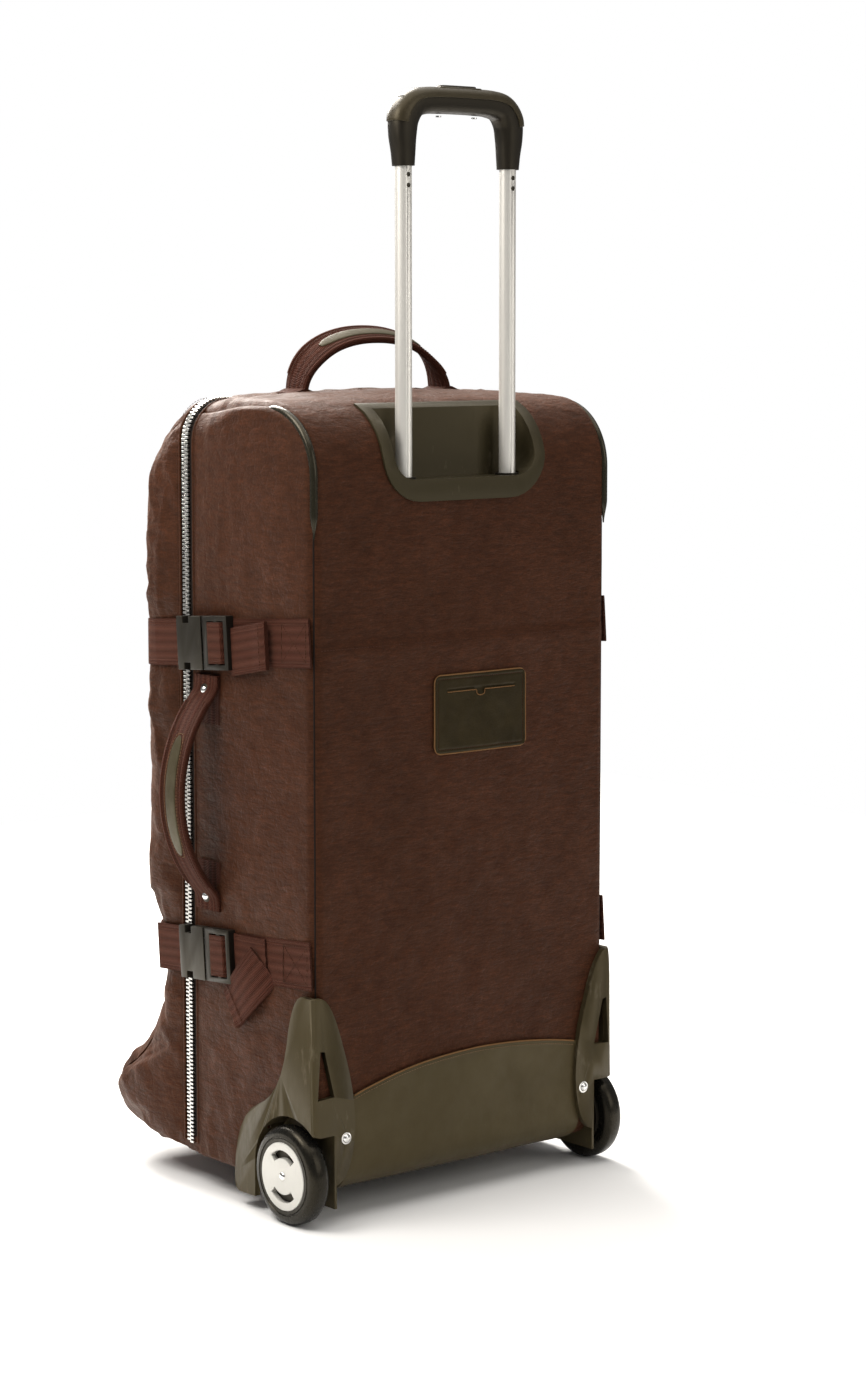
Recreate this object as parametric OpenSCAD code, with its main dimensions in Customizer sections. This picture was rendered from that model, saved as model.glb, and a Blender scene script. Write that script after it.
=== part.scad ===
// Large soft two-wheel trolley case, standing upright with its pull handle drawn out.
// Frame: X across the case, +Y towards the front (lid), +Z up.
// The origin lies on the floor, at the centre of the stand foot's underside.

/* [Case] */
// Width of the case across its side seams
case_w = 368; // [352:1:384]
// Height of the case top above the floor
case_top = 776; // [766:1:790]
// Height of the case underside above the floor
case_base = 30; // [28:1:32]
// Distance from the back panel to the origin
back_reach = 160; // [158:1:162]
// Distance from the origin to the plane of the main zip
zip_y = 40; // [38:1:44]
// Depth of the front face of the lid, from the origin
lid_front = 137; // [130:1:145]
// Depth of the sagging belly of the lid, from the origin
belly_front = 204; // [180:1:210]
// Thickness of the padded fabric walls
wall = 4; // [3:0.5:5]

/* [Trolley handle] */
// Distance between the centres of the two tubes
tube_pitch = 129.5; // [126:0.5:132]
// Radius of the sliding tubes
tube_r = 8; // [7.5:0.1:8.2]
// Height of the lower ends of the grip legs when drawn out
grip_low = 996; // [980:1:1010]
// Height of the grip from the leg ends to its top
grip_h = 73; // [70:1:76]
// Half width of the grip
grip_hw = 81; // [79:0.5:83]
// Height of the floor of the bezel cup
cup_floor = 703; // [700:1:706]
// Half width of the bezel cup inside
cup_hw = 88; // [86:1:90]

/* [Wheels] */
// Radius of the wheels
wheel_r = 47.5; // [45:0.5:49]
// Distance from the back panel to the wheel centre
wheel_in = 31.3; // [29:0.1:34]
// Distance between the outer faces of the two hub caps
track_out = 399.2; // [396:0.2:404]
// Width of the tyre
tyre_w = 22.5; // [20:0.5:24]
// Radius of the hub cap
cap_r = 32.6; // [31:0.1:34]

/* [Straps] */
// Width of the webbing of the compression straps
web_w = 46; // [40:1:48]
// Height of the middle of the upper strap
upper_z = 544; // [540:1:552]
// Height of the middle of the lower strap
lower_z = 240; // [238:1:246]
// Fall of the straps towards the front, in degrees
strap_fall = 4.3; // [3.5:0.1:5]
// Bow of the side handle away from the case
side_bow = 45; // [38:1:50]
// Rise of the top handle above the case
top_rise = 62; // [54:1:66]

/* [Hidden] */
$fn = 48;
gap = 0.3;
back_y = -back_reach;
half_w = case_w / 2;
lid_hw = half_w - 2;
rear_edge = zip_y - 6;
lid_edge = zip_y + 6;
tube_x = tube_pitch / 2;
tube_y = back_y + 14;
outer_r = tube_r + 1.8;
bore_r = tube_r + 0.8;
collar_r = outer_r + 1.7;
fit = 0.08;
tube_bottom = 366;
foot_z = case_base + 25;
wheel_y = back_y + wheel_in;
well_r = wheel_r + 8.5;
well_x = half_w - 18;
hub_x0 = track_out / 2 - 26;
hub_x1 = track_out / 2 - 6;
grip_top = grip_low + grip_h;
grip_y0 = tube_y - 13;
grip_d = 26;
split_z = grip_top - 12;
RIVET_DROPS = [8, 18];
cloth = [0.27, 0.15, 0.13];
webbing = [0.36, 0.17, 0.16];
olive = [0.27, 0.26, 0.19];
black = [0.05, 0.05, 0.05];
silver = [0.78, 0.78, 0.76];
board = [0.16, 0.16, 0.17];

// Points of an arc of radius r about c, from angle a0 to a1
function arc(c, r, a0, a1, n = 8) =
    [for (i = [0:n]) c + r * [cos(a0 + (a1 - a0) * i / n), sin(a0 + (a1 - a0) * i / n)]];
// Points of a curve from p to r, pulled towards q
function bend(p, q, r, n = 6) =
    [for (i = [0:n]) let (t = i / n) (1 - t) * (1 - t) * p + 2 * t * (1 - t) * q + t * t * r];
// Rounded rectangle between two corners
function round_rect(a, b, r) = concat(
    arc([a[0] + r, a[1] + r], r, 180, 270), arc([b[0] - r, a[1] + r], r, 270, 360),
    arc([b[0] - r, b[1] - r], r, 0, 90), arc([a[0] + r, b[1] - r], r, 90, 180));
// Rectangle open at its top, with round lower corners
function cup_form(hw, low, r, high) = concat(
    [[-hw, high]], arc([-hw + r, low + r], r, 180, 270), arc([hw - r, low + r], r, 270, 360),
    [[hw, high]]);
// Side view of the rear shell, drawn in by t
function rear_side(t, front) = concat(
    [[front, case_base + t]], arc([back_y + 25, case_base + 25], 25 - t, 270, 180),
    arc([back_y + 66, case_top - 66], 66 - t, 180, 90), [[front, case_top - t]]);
// Front view of the case, drawn in by t
function case_front(t, hw) = concat(
    [[-hw + t, case_base + t], [hw - t, case_base + t]],
    arc([hw - 20, case_top - 20], 20 - t, 0, 90), arc([-hw + 20, case_top - 20], 20 - t, 90, 180));

// Solid of a (y, z) outline between two values of x
module along_x(x0, x1) {
    translate([x0, 0, 0]) rotate([90, 0, 90]) linear_extrude(x1 - x0) children();
}
// Solid of an (x, z) outline between two values of y
module along_y(y0, y1) {
    translate([0, y1, 0]) rotate([90, 0, 0]) linear_extrude(y1 - y0) children();
}
// Solid of an (x, y) outline between two heights
module along_z(z0, z1) {
    translate([0, 0, z0]) linear_extrude(z1 - z0) children();
}
// Block between two corners
module block(a, b) {
    translate(a) cube(b - a);
}
// Round bar along X, at y and z
module bar_x(x0, x1, y, z, r) {
    translate([x0, y, z]) rotate([0, 90, 0]) cylinder(h = x1 - x0, r = r);
}
// Round bar along Z
module bar_z(x, y, z0, z1, r) {
    translate([x, y, z0]) cylinder(h = z1 - z0, r = r);
}
// A shape and its mirror image in the middle plane
module both() {
    children();
    mirror([1, 0, 0]) children();
}

// Bead sewn into the upper back corner of a side panel
module bead(r) {
    run_y = back_y + 2;
    top_z = case_top - 6;
    turn = 62;
    translate([-half_w + 2, run_y, 655]) cylinder(h = top_z - turn - 655, r = r);
    translate([-half_w + 2, run_y + turn, top_z - turn]) rotate([90, 0, -90])
        rotate_extrude(angle = 90) translate([turn, 0]) circle(r);
    translate([-half_w + 2, run_y + turn, top_z]) rotate([-90, 0, 0])
        cylinder(h = 40, r = r);
}

// Space that a wheel turns in
module wheel_space(x0, x1, r) {
    bar_x(x0, x1, wheel_y, wheel_r, r);
    block([x0, wheel_y - r, -1], [x1, wheel_y + r, wheel_r]);
}

module rear_shell() {
    color(cloth) difference() {
        intersection() {
            along_x(-half_w, half_w) polygon(rear_side(0, rear_edge));
            along_y(back_y - 1, rear_edge) polygon(case_front(0, half_w));
        }
        intersection() {
            along_x(-half_w + wall, half_w - wall) polygon(rear_side(wall, zip_y));
            along_y(back_y, zip_y) polygon(case_front(wall, half_w));
        }
        along_y(back_y - 9, back_y + 35.5) polygon(cup_form(cup_hw + 2.5, cup_floor - 2.5, 26.5, 900));
        both() wheel_space(-half_w - 1, -well_x + 3, well_r + 4);
        both() bead(4.2);
    }
}

module back_board() {
    color(board) along_y(back_y + 26, back_y + 28)
        polygon(round_rect([-100, foot_z + 30], [100, 676], 12));
}

module lining_panel() {
    color([0.42, 0.38, 0.33]) along_y(back_y + 28.2, back_y + 29.2)
        polygon(round_rect([-half_w + 30, 120], [half_w - 30, 672], 20));
}

module base_tray() {
    color(board) difference() {
        block([-156, back_y + 28, case_base + wall + 0.1], [156, 24, case_base + wall + 4]);
        block([-110, -110, 0], [110, 0, 60]);
    }
}

module edge_frame() {
    color(silver) difference() {
        along_y(26, 30) polygon(case_front(wall + gap, half_w));
        along_y(25, 31) polygon(case_front(wall + gap + 4, half_w));
    }
}

module trolley_bezel() {
    color(olive) difference() {
        union() {
            intersection() {
                along_y(back_y - 6, back_y + 35.5)
                    polygon(cup_form(cup_hw + 2.5, cup_floor - 2.5, 26.5, 900));
                along_x(-120, 120) polygon(rear_side(-2.5, zip_y));
            }
            difference() {
                intersection() {
                    along_y(back_y - 6, back_y + 44)
                        polygon(cup_form(cup_hw + 13, cup_floor - 21, 45, 900));
                    along_x(-120, 120) polygon(rear_side(-2.5, zip_y));
                }
                along_x(-130, 130) polygon(rear_side(0, zip_y + 1));
            }
        }
        along_y(back_y - 9, back_y + 33) polygon(cup_form(cup_hw, cup_floor, 24, 900));
        both() bar_z(-tube_x, tube_y, cup_floor - 9, cup_floor + 1, outer_r);
        both() bar_z(-tube_x, tube_y, cup_floor, cup_floor + 30, collar_r + 0.3);
    }
}

module bezel_screws() {
    color(silver) for (x = [-70, -24, 24, 70])
        translate([x, back_y + 35.6, 735]) rotate([-90, 0, 0]) cylinder(h = 2.2, r = 4);
}

module outer_tube(side) {
    color(silver) difference() {
        bar_z(side * tube_x, tube_y, foot_z + 6, cup_floor - 17, outer_r);
        bar_z(side * tube_x, tube_y, foot_z + 5, cup_floor - 16, bore_r);
    }
}

module outer_tube_l() {
    outer_tube(-1);
}

module outer_tube_r() {
    outer_tube(1);
}

module tube_bushings() {
    color(black) both() difference() {
        union() {
            bar_z(-tube_x, tube_y, cup_floor - 17, cup_floor, outer_r);
            bar_z(-tube_x, tube_y, cup_floor, cup_floor + 2, collar_r);
        }
        bar_z(-tube_x, tube_y, cup_floor - 18, cup_floor + 3, tube_r + fit);
    }
}

module tube_foot() {
    color(black) difference() {
        block([-82, back_y + wall + gap, foot_z], [82, back_y + 25.7, foot_z + 22]);
        both() bar_z(-tube_x, tube_y, foot_z + 6, foot_z + 23, outer_r);
    }
}

module scuff_panel() {
    low = case_base + 25;
    color(olive) along_y(back_y - 1.5, back_y - 0.1) polygon(concat(
        [[-140.5, low]], bend([-140.5, 128], [-60, 138], [20, 146]),
        bend([20, 146], [80, 147], [140.5, 124]), [[140.5, low]]));
    color(olive) along_x(-140.5, 140.5) polygon(concat(
        arc([back_y + 25, case_base + 25], 26.5, 180, 270), [[-60, case_base - 1.5]],
        [[-60, case_base - 0.1]], arc([back_y + 25, case_base + 25], 25.1, 270, 180)));
}

// Corner guard and wheel housing on the left; the right one is its mirror image
module wheel_housing() {
    out = half_w + 6.2;
    color(olive) difference() {
        union() {
            along_x(-out, -half_w - 0.1) polygon(concat(
                [[back_y - 6.2, 16], [back_y - 6.2, 222]],
                bend([back_y + 14, 222], [back_y + 29, 216], [back_y + 36, 172]),
                bend([back_y + 36, 172], [back_y + 46, 120], [back_y + 82, 106]),
                bend([back_y + 82, 106], [back_y + 118, 90], [back_y + 120, 30]),
                [[back_y + 119, 18], [back_y + 114, 14]]));
            along_y(back_y - 6.2, back_y - 0.1) polygon(concat(
                [[-out, 222]], bend([-out + 10, 222], [-out + 22, 218], [-out + 34, 176]),
                bend([-out + 34, 176], [-141, 130], [-141, 95]),
                bend([-141, 95], [-143, 45], [-165, 39]), [[-out, 39]]));
            intersection() {
                bar_x(-half_w - 1, -well_x + 2.7, wheel_y, wheel_r, well_r + 3.7);
                block([-half_w - 1, back_y - 6.2, 18], [-well_x + 2.7, 0, 120]);
            }
        }
        wheel_space(-220, -well_x, well_r);
        bar_x(-well_x - 1, -well_x + 3, wheel_y, wheel_r, 4);
        along_y(-180, back_y - 0.05) polygon(
            [[-out + 4.7, 125], [-out + 24.4, 126], [-out + 13, 171], [-out + 8, 172]]);
        translate([-151.7, back_y - 7, 84.2]) rotate([-90, 0, 0]) cylinder(h = 8, r = 2.6);
    }
}

module wheel_housing_l() {
    wheel_housing();
}

module wheel_housing_r() {
    mirror([1, 0, 0]) wheel_housing();
}

module housing_bolts() {
    color(silver) both() translate([-151.7, back_y - 6.3, 84.2]) rotate([90, 0, 0]) {
        cylinder(h = 1.2, r = 5.5);
        translate([0, 0, 1.1]) cylinder(h = 1.2, r = 4);
        translate([0, 0, -5.9]) cylinder(h = 6, r = 2.5);
    }
}

module axle_l() {
    color(silver) union() {
        bar_x(-hub_x1 + 1, -hub_x1 + 4, wheel_y, wheel_r, 6.5);
        bar_x(-hub_x1 + 1, -well_x + 12, wheel_y, wheel_r, 4);
        bar_x(-hub_x0 + 0.5, -well_x, wheel_y, wheel_r, 7);
        bar_x(-well_x + 2.8, -well_x + 8, wheel_y, wheel_r, 7);
    }
}

module axle_r() {
    mirror([1, 0, 0]) axle_l();
}

module piping_l() {
    color([0.09, 0.11, 0.09]) bead(4);
}

module piping_r() {
    mirror([1, 0, 0]) piping_l();
}

module address_patch() {
    color(olive) difference() {
        along_y(back_y - 1.9, back_y - 0.1) polygon(round_rect([-41, 439], [75, 515], 7));
        along_y(back_y - 3, back_y + 1) polygon(round_rect([-26, 499], [61, 502], 1.4));
        translate([17, back_y - 3, 499.5]) rotate([-90, 0, 0]) cylinder(h = 4, r = 7);
    }
}

module stand_foot() {
    color(black) along_x(-95, 95) polygon(
        [[-24, 0], [24, 0], [30, case_base - 0.1], [-36, case_base - 0.1]]);
}

// Places what it is given at the upper and the lower strap, on both sides
module at_straps() {
    both() for (z = [upper_z, lower_z])
        translate([-half_w, 0, z]) rotate([-strap_fall, 0, 0]) children();
}

module rear_straps() {
    color(webbing) at_straps() block([-2.1, back_y + 2, -web_w / 2], [-0.1, -4, web_w / 2]);
}

module strap_tails() {
    color(webbing) both() {
        translate([-half_w, 0, upper_z]) rotate([-strap_fall, 0, 0])
            block([-4.8, -100, -web_w / 2], [-2.4, -41, web_w / 2]);
        translate([-half_w - 4.8, -62, lower_z - 32]) rotate([-38, 0, 0])
            block([0, -42, -web_w / 2 + 6], [2.4, 42, web_w / 2 - 6]);
    }
}

module buckle_prongs() {
    h = 26;
    color(black) at_straps() {
        difference() {
            block([-11, -40, -h], [-2.6, 0, h]);
            block([-12, -34, -h + 5], [-2, -25, h - 5]);
            block([-12, -19, -h + 5], [-2, -8, h - 5]);
        }
        for (z = [-12, 12])
            block([-9, -0.1, z - 3], [-5, 20, z + 3]);
    }
}

module handle_tabs() {
    color(webbing) for (z = [[466, 512], [284, 330]])
        translate([-half_w, 3, 0]) block([-4.1, -17, z[0]], [-0.1, 17, z[1]]);
    color(webbing) translate([-half_w - 4.2, 3, 0]) {
        block([-4, -15, 486], [0, 15, 512]);
        block([-4, -15, 284], [0, 15, 310]);
    }
}

module handle_rivets() {
    color(silver) for (z = [498, 297]) translate([-half_w - 8.3, 3, z]) rotate([0, -90, 0]) {
        cylinder(h = 1, r = 6);
        translate([0, 0, 0.9]) cylinder(h = 1.5, r = 4.5);
    }
}

module top_handle_feet() {
    color(webbing) both() block([-104, -28, case_top + 0.1], [-79, 2, case_top + 8]);
}

module rear_zip() {
    color(silver) zip_band(rear_edge, zip_y - gap);
}

// Tape and teeth of half a zip, round the sides and the top
module zip_band(y0, y1) {
    difference() {
        along_y(y0, y1) polygon(case_front(2, half_w));
        along_y(y0 - 1, y1 + 1) polygon(case_front(4, half_w));
        block([-half_w + 6, y0 - 1, 0], [half_w - 6, y1 + 1, 100]);
    }
}

// Space enclosed by the lid, drawn in by t
module lid_form(t, edge) {
    hw = lid_hw - t;
    intersection() {
        along_z(170, case_top - t) polygon(concat(
            [[-hw, edge], [hw, edge]],
            arc([hw - 40, lid_front - t - 40], 40, 0, 90),
            arc([-hw + 40, lid_front - t - 40], 40, 90, 180)));
        along_x(-hw, hw) polygon(concat(
            [[edge, 160]], [[lid_front - t, 160]],
            arc([lid_front - 40, case_top - 44], 40 - t, 0, 90), [[edge, case_top - 4 - t]]));
        along_y(edge, lid_front) polygon(case_front(t, lid_hw));
    }
    intersection() {
        along_z(20, 180) polygon(concat(
            [[-hw, edge], [hw, edge]],
            arc([hw - 50, belly_front - t - 50], 50, 0, 90),
            arc([-hw + 50, belly_front - t - 50], 50, 90, 180)));
        along_x(-hw, hw) polygon(concat(
            [[edge, case_base + t], [110, case_base + 6 + t]],
            bend([165, 48 + t], [belly_front - t, 58 + t], [belly_front - t, 80]),
            bend([belly_front - t, 80], [belly_front - 8 - t, 122 - t], [lid_front - t, 140 - t]),
            [[lid_front - t, 172], [edge, 172]]));
    }
}

module lid_shell() {
    color(cloth) difference() {
        lid_form(0, lid_edge);
        lid_form(wall, lid_edge - 1);
    }
    color(cloth) block([-lid_hw + 8, zip_y + gap, case_base], [lid_hw - 8, lid_edge + 0.1, case_base + 3]);
}

module lid_zip() {
    color(silver) zip_band(zip_y + gap, lid_edge - 0.1);
}

// Flat pouch on the front of the lid, open at its top edge
module pouch(low, high, r) {
    color(cloth) difference() {
        along_y(lid_front + 0.1, lid_front + 10) polygon(round_rect([-138, low], [138, high], r));
        block([-131, lid_front + 1.6, low + 7], [131, lid_front + 8.5, high + 1]);
    }
}

module upper_pocket() {
    pouch(350, 672, 20);
}

module lower_pocket() {
    pouch(196, 318, 12);
}

module upper_pocket_zip() {
    color(silver) block([-136, lid_front + 0.1, 673], [136, lid_front + 2, 683]);
}

module lower_pocket_zip() {
    color(silver) block([-136, lid_front + 0.1, 319], [136, lid_front + 2, 329]);
}

module front_straps() {
    color(webbing) at_straps() block([-0.1, 44, -web_w / 2], [1.9, 92, web_w / 2]);
}

module buckle_bodies() {
    h = 26;
    color(board) at_straps() difference() {
        union() {
            block([-11.5, 2, -h], [-2.6, 42, h]);
            block([-9, 41, -h + 4], [-0.3, 46, h - 4]);
        }
        block([-10.4, 1, -h + 5], [-3.7, 28, h - 5]);
        for (z = [-h, h])
            block([-12, 22, z - 7], [-1, 32, z + 7]);
    }
}

// The wheel parts are drawn on the left; the right ones are mirror images
module tyre_l() {
    x0 = -track_out / 2 + 0.6;
    color(black) translate([0, wheel_y, wheel_r]) rotate([0, 90, 0]) rotate_extrude($fn = 96)
        polygon(concat([[cap_r + 0.4, x0]], [[wheel_r - 7, x0]],
            arc([wheel_r - 7, x0 + 7], 7, 270, 360, 5),
            arc([wheel_r - 7, x0 + tyre_w - 7], 7, 0, 90, 5), [[cap_r + 0.4, x0 + tyre_w]]));
}

module tyre_r() {
    mirror([1, 0, 0]) tyre_l();
}

module hub_l() {
    color(black) difference() {
        bar_x(-hub_x1, -hub_x0, wheel_y, wheel_r, cap_r + 0.4);
        bar_x(-hub_x1 - 1, -hub_x0 + 1, wheel_y, wheel_r, 11);
    }
}

module hub_r() {
    mirror([1, 0, 0]) hub_l();
}

module hub_cap_l() {
    color(silver) difference() {
        bar_x(-track_out / 2, -hub_x1 - 0.1, wheel_y, wheel_r, cap_r);
        for (a = [0, 180]) intersection() {
            difference() {
                bar_x(-track_out / 2 - 1, -hub_x1, wheel_y, wheel_r, 25);
                bar_x(-track_out / 2 - 1, -hub_x1, wheel_y, wheel_r, 17.5);
            }
            translate([-track_out / 2 - 1, wheel_y, wheel_r]) rotate([a + 45, 0, 0])
                cube([8, 30, 30]);
        }
    }
}

module hub_cap_r() {
    mirror([1, 0, 0]) hub_cap_l();
}

module bearings_l() {
    color(silver) for (x = [-hub_x1 + 4.5, -hub_x0 - 7.2]) difference() {
        bar_x(x, x + 7, wheel_y, wheel_r, 11);
        bar_x(x - 1, x + 8, wheel_y, wheel_r, 4 + fit);
    }
}

module bearings_r() {
    mirror([1, 0, 0]) bearings_l();
}

module inner_tubes() {
    color(silver) both() difference() {
        bar_z(-tube_x, tube_y, tube_bottom, grip_low + 16, tube_r);
        bar_z(-tube_x, tube_y, tube_bottom - 1, grip_low + 17, tube_r - 1.2);
        for (z = RIVET_DROPS)
            translate([-tube_x, tube_y - tube_r - 1, grip_low - z]) rotate([-90, 0, 0])
                cylinder(h = 4, r = 2.05);
    }
}

// Arch of the grip seen from behind
module grip_arch() {
    hw_in = tube_x - 10.5;
    polygon(concat(
        [[-hw_in - 19, grip_low], [-hw_in, grip_low]],
        arc([-hw_in + 16, grip_top - 41], 16, 180, 90), arc([hw_in - 16, grip_top - 41], 16, 90, 0),
        [[hw_in, grip_low], [hw_in + 19, grip_low]],
        arc([grip_hw - 30, grip_top - 30], 30, 0, 90), arc([-grip_hw + 30, grip_top - 30], 30, 90, 180)));
}

// Hollow in the grip that the button works in
module grip_hollow() {
    block([-tube_x - 6, tube_y - 7, grip_top - 20], [tube_x + 6, tube_y + 7, grip_top - 4]);
    both() bar_z(-tube_x, tube_y, grip_low + 15, grip_top - 19, 5);
}

module grip_lower() {
    color(black) difference() {
        intersection() {
            along_y(grip_y0, grip_y0 + grip_d) grip_arch();
            block([-100, -200, grip_low - 1], [100, 0, split_z]);
        }
        both() bar_z(-tube_x, tube_y, grip_low - 1, grip_low + 16, tube_r);
        grip_hollow();
    }
}

module grip_upper() {
    color(olive) difference() {
        intersection() {
            along_y(grip_y0, grip_y0 + grip_d) grip_arch();
            block([-100, -200, split_z], [100, 0, grip_top + 1]);
        }
        grip_hollow();
        along_z(grip_top - 5, grip_top + 1) translate([0, tube_y])
            polygon(round_rect([-23.3, -7.3], [23.3, 7.3], 7));
    }
}

module grip_rivets() {
    color(board) both() for (z = RIVET_DROPS)
        translate([-tube_x, tube_y - tube_r + 0.3, grip_low - z]) rotate([-90, 0, 0])
            cylinder(h = 3, r = 2);
}

module grip_screws() {
    color(board) both() bar_z(-22, tube_y, grip_top - 26.4, grip_top - 25.1, 2.6);
}

module lock_plugs() {
    color(black) both() difference() {
        union() {
            bar_z(-tube_x, tube_y, tube_bottom - 14, tube_bottom, bore_r - 0.1);
            bar_z(-tube_x, tube_y, tube_bottom - 1, tube_bottom + 12, tube_r - 1.2);
        }
        bar_x(-tube_x - 20, -tube_x + 20, tube_y, tube_bottom - 7, 2.2);
    }
}

module push_button() {
    color(black) along_z(grip_top - 8, grip_top + 3.5) translate([0, tube_y])
        polygon(round_rect([-22.5, -6.5], [22.5, 6.5], 6.4));
}

module button_yoke() {
    color(silver) {
        block([-tube_x - 4, tube_y - 4, grip_top - 14], [tube_x + 4, tube_y + 4, grip_top - 8.1]);
        both() bar_z(-tube_x, tube_y, tube_bottom + 18, grip_top - 13.9, 2.5);
    }
}

module lock_pin(side) {
    color(silver) bar_x(side * tube_x - 4, side * tube_x + 4, tube_y, tube_bottom - 7, 2);
}

module lock_pin_l() {
    translate([-3, 0, 0]) lock_pin(-1);
}

module lock_pin_r() {
    translate([3, 0, 0]) lock_pin(1);
}

// Band of a carry handle: an arc of the given half chord and rise, from angle a up
module handle_band(half, rise, thick, a) {
    r = (half * half + rise * rise) / (2 * rise);
    polygon(concat(arc([0, rise - r], r, a, 180 - a, 20), arc([0, rise - r], r - thick, 180 - a, a, 20)));
}

module top_handle() {
    color(webbing) translate([0, 0, case_top]) along_y(-28, 2) handle_band(92, top_rise, 7, 40);
}

module side_handle() {
    color(webbing) translate([-half_w - 4, 0, 398]) rotate([0, -90, 0]) along_y(-14, 20)
        handle_band(100, side_bow, 6, 53);
}

module zip_slider() {
    color(silver) difference() {
        block([half_w - 1.6, zip_y - 5.6, 470], [half_w + 4, zip_y + 5.6, 488]);
        block([half_w - 3, zip_y - 8, 476], [half_w + 1, zip_y + 8, 482]);
    }
}

module zip_pull() {
    color(silver) block([half_w + 4.4, zip_y - 4, 432], [half_w + 6.2, zip_y + 4, 484]);
}

// Slider and pull of a pocket zip
module pocket_pull(z) {
    color(silver) {
        block([-128, lid_front + 2.3, z - 4], [-116, lid_front + 6, z + 4]);
        block([-116.1, lid_front + 4, z - 3], [-84, lid_front + 5.6, z + 3]);
    }
}

module upper_pocket_pull() {
    pocket_pull(678);
}

module lower_pocket_pull() {
    pocket_pull(324);
}

rear_shell();
back_board();
lining_panel();
base_tray();
edge_frame();
trolley_bezel();
bezel_screws();
outer_tube_l();
outer_tube_r();
tube_bushings();
tube_foot();
scuff_panel();
wheel_housing_l();
wheel_housing_r();
housing_bolts();
axle_l();
axle_r();
piping_l();
piping_r();
address_patch();
stand_foot();
rear_straps();
strap_tails();
buckle_prongs();
handle_tabs();
handle_rivets();
top_handle_feet();
rear_zip();
lid_shell();
lid_zip();
upper_pocket();
lower_pocket();
upper_pocket_zip();
lower_pocket_zip();
front_straps();
buckle_bodies();
tyre_l();
hub_l();
hub_cap_l();
bearings_l();
tyre_r();
hub_r();
hub_cap_r();
bearings_r();
inner_tubes();
grip_lower();
grip_upper();
grip_rivets();
grip_screws();
lock_plugs();
push_button();
button_yoke();
lock_pin_l();
lock_pin_r();
top_handle();
side_handle();
zip_slider();
zip_pull();
upper_pocket_pull();
lower_pocket_pull();
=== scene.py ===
"""Large soft two-wheel trolley case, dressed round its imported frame.

All sizes in the classes are in millimetres and are turned into metres when a mesh is placed.
"""
import logging
import math
from dataclasses import dataclass
from enum import Enum
from typing import Callable, Iterable, Sequence

import bpy
import numpy as np
from mathutils import Matrix, Vector, noise


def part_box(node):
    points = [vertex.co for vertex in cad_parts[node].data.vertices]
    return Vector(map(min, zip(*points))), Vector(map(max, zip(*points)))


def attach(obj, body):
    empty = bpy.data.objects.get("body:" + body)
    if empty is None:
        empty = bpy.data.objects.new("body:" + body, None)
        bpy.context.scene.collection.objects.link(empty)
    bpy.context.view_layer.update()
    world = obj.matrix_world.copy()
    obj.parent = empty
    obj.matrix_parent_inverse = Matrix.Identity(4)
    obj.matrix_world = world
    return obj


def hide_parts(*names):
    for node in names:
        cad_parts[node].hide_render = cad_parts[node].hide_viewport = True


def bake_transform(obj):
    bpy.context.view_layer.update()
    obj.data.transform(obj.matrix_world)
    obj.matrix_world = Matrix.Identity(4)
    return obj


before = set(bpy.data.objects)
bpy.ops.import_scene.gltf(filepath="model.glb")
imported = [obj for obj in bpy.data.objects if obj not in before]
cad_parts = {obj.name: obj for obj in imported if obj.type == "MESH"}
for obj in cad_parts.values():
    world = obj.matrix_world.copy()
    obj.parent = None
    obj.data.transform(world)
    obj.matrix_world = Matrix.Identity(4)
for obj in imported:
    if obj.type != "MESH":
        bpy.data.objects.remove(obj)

MM = 0.001
LOG = logging.getLogger("trolley_case")
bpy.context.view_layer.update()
Place = Callable[[float, float], Vector]


class Side(Enum):
    """The two sides of the case, seen from behind."""

    LEFT = -1
    RIGHT = 1

    @property
    def letter(self) -> str:
        """Letter that ends the names of this side's pieces."""
        return "l" if self is Side.LEFT else "r"


# ---------------------------------------------------------------- finishes


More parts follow.
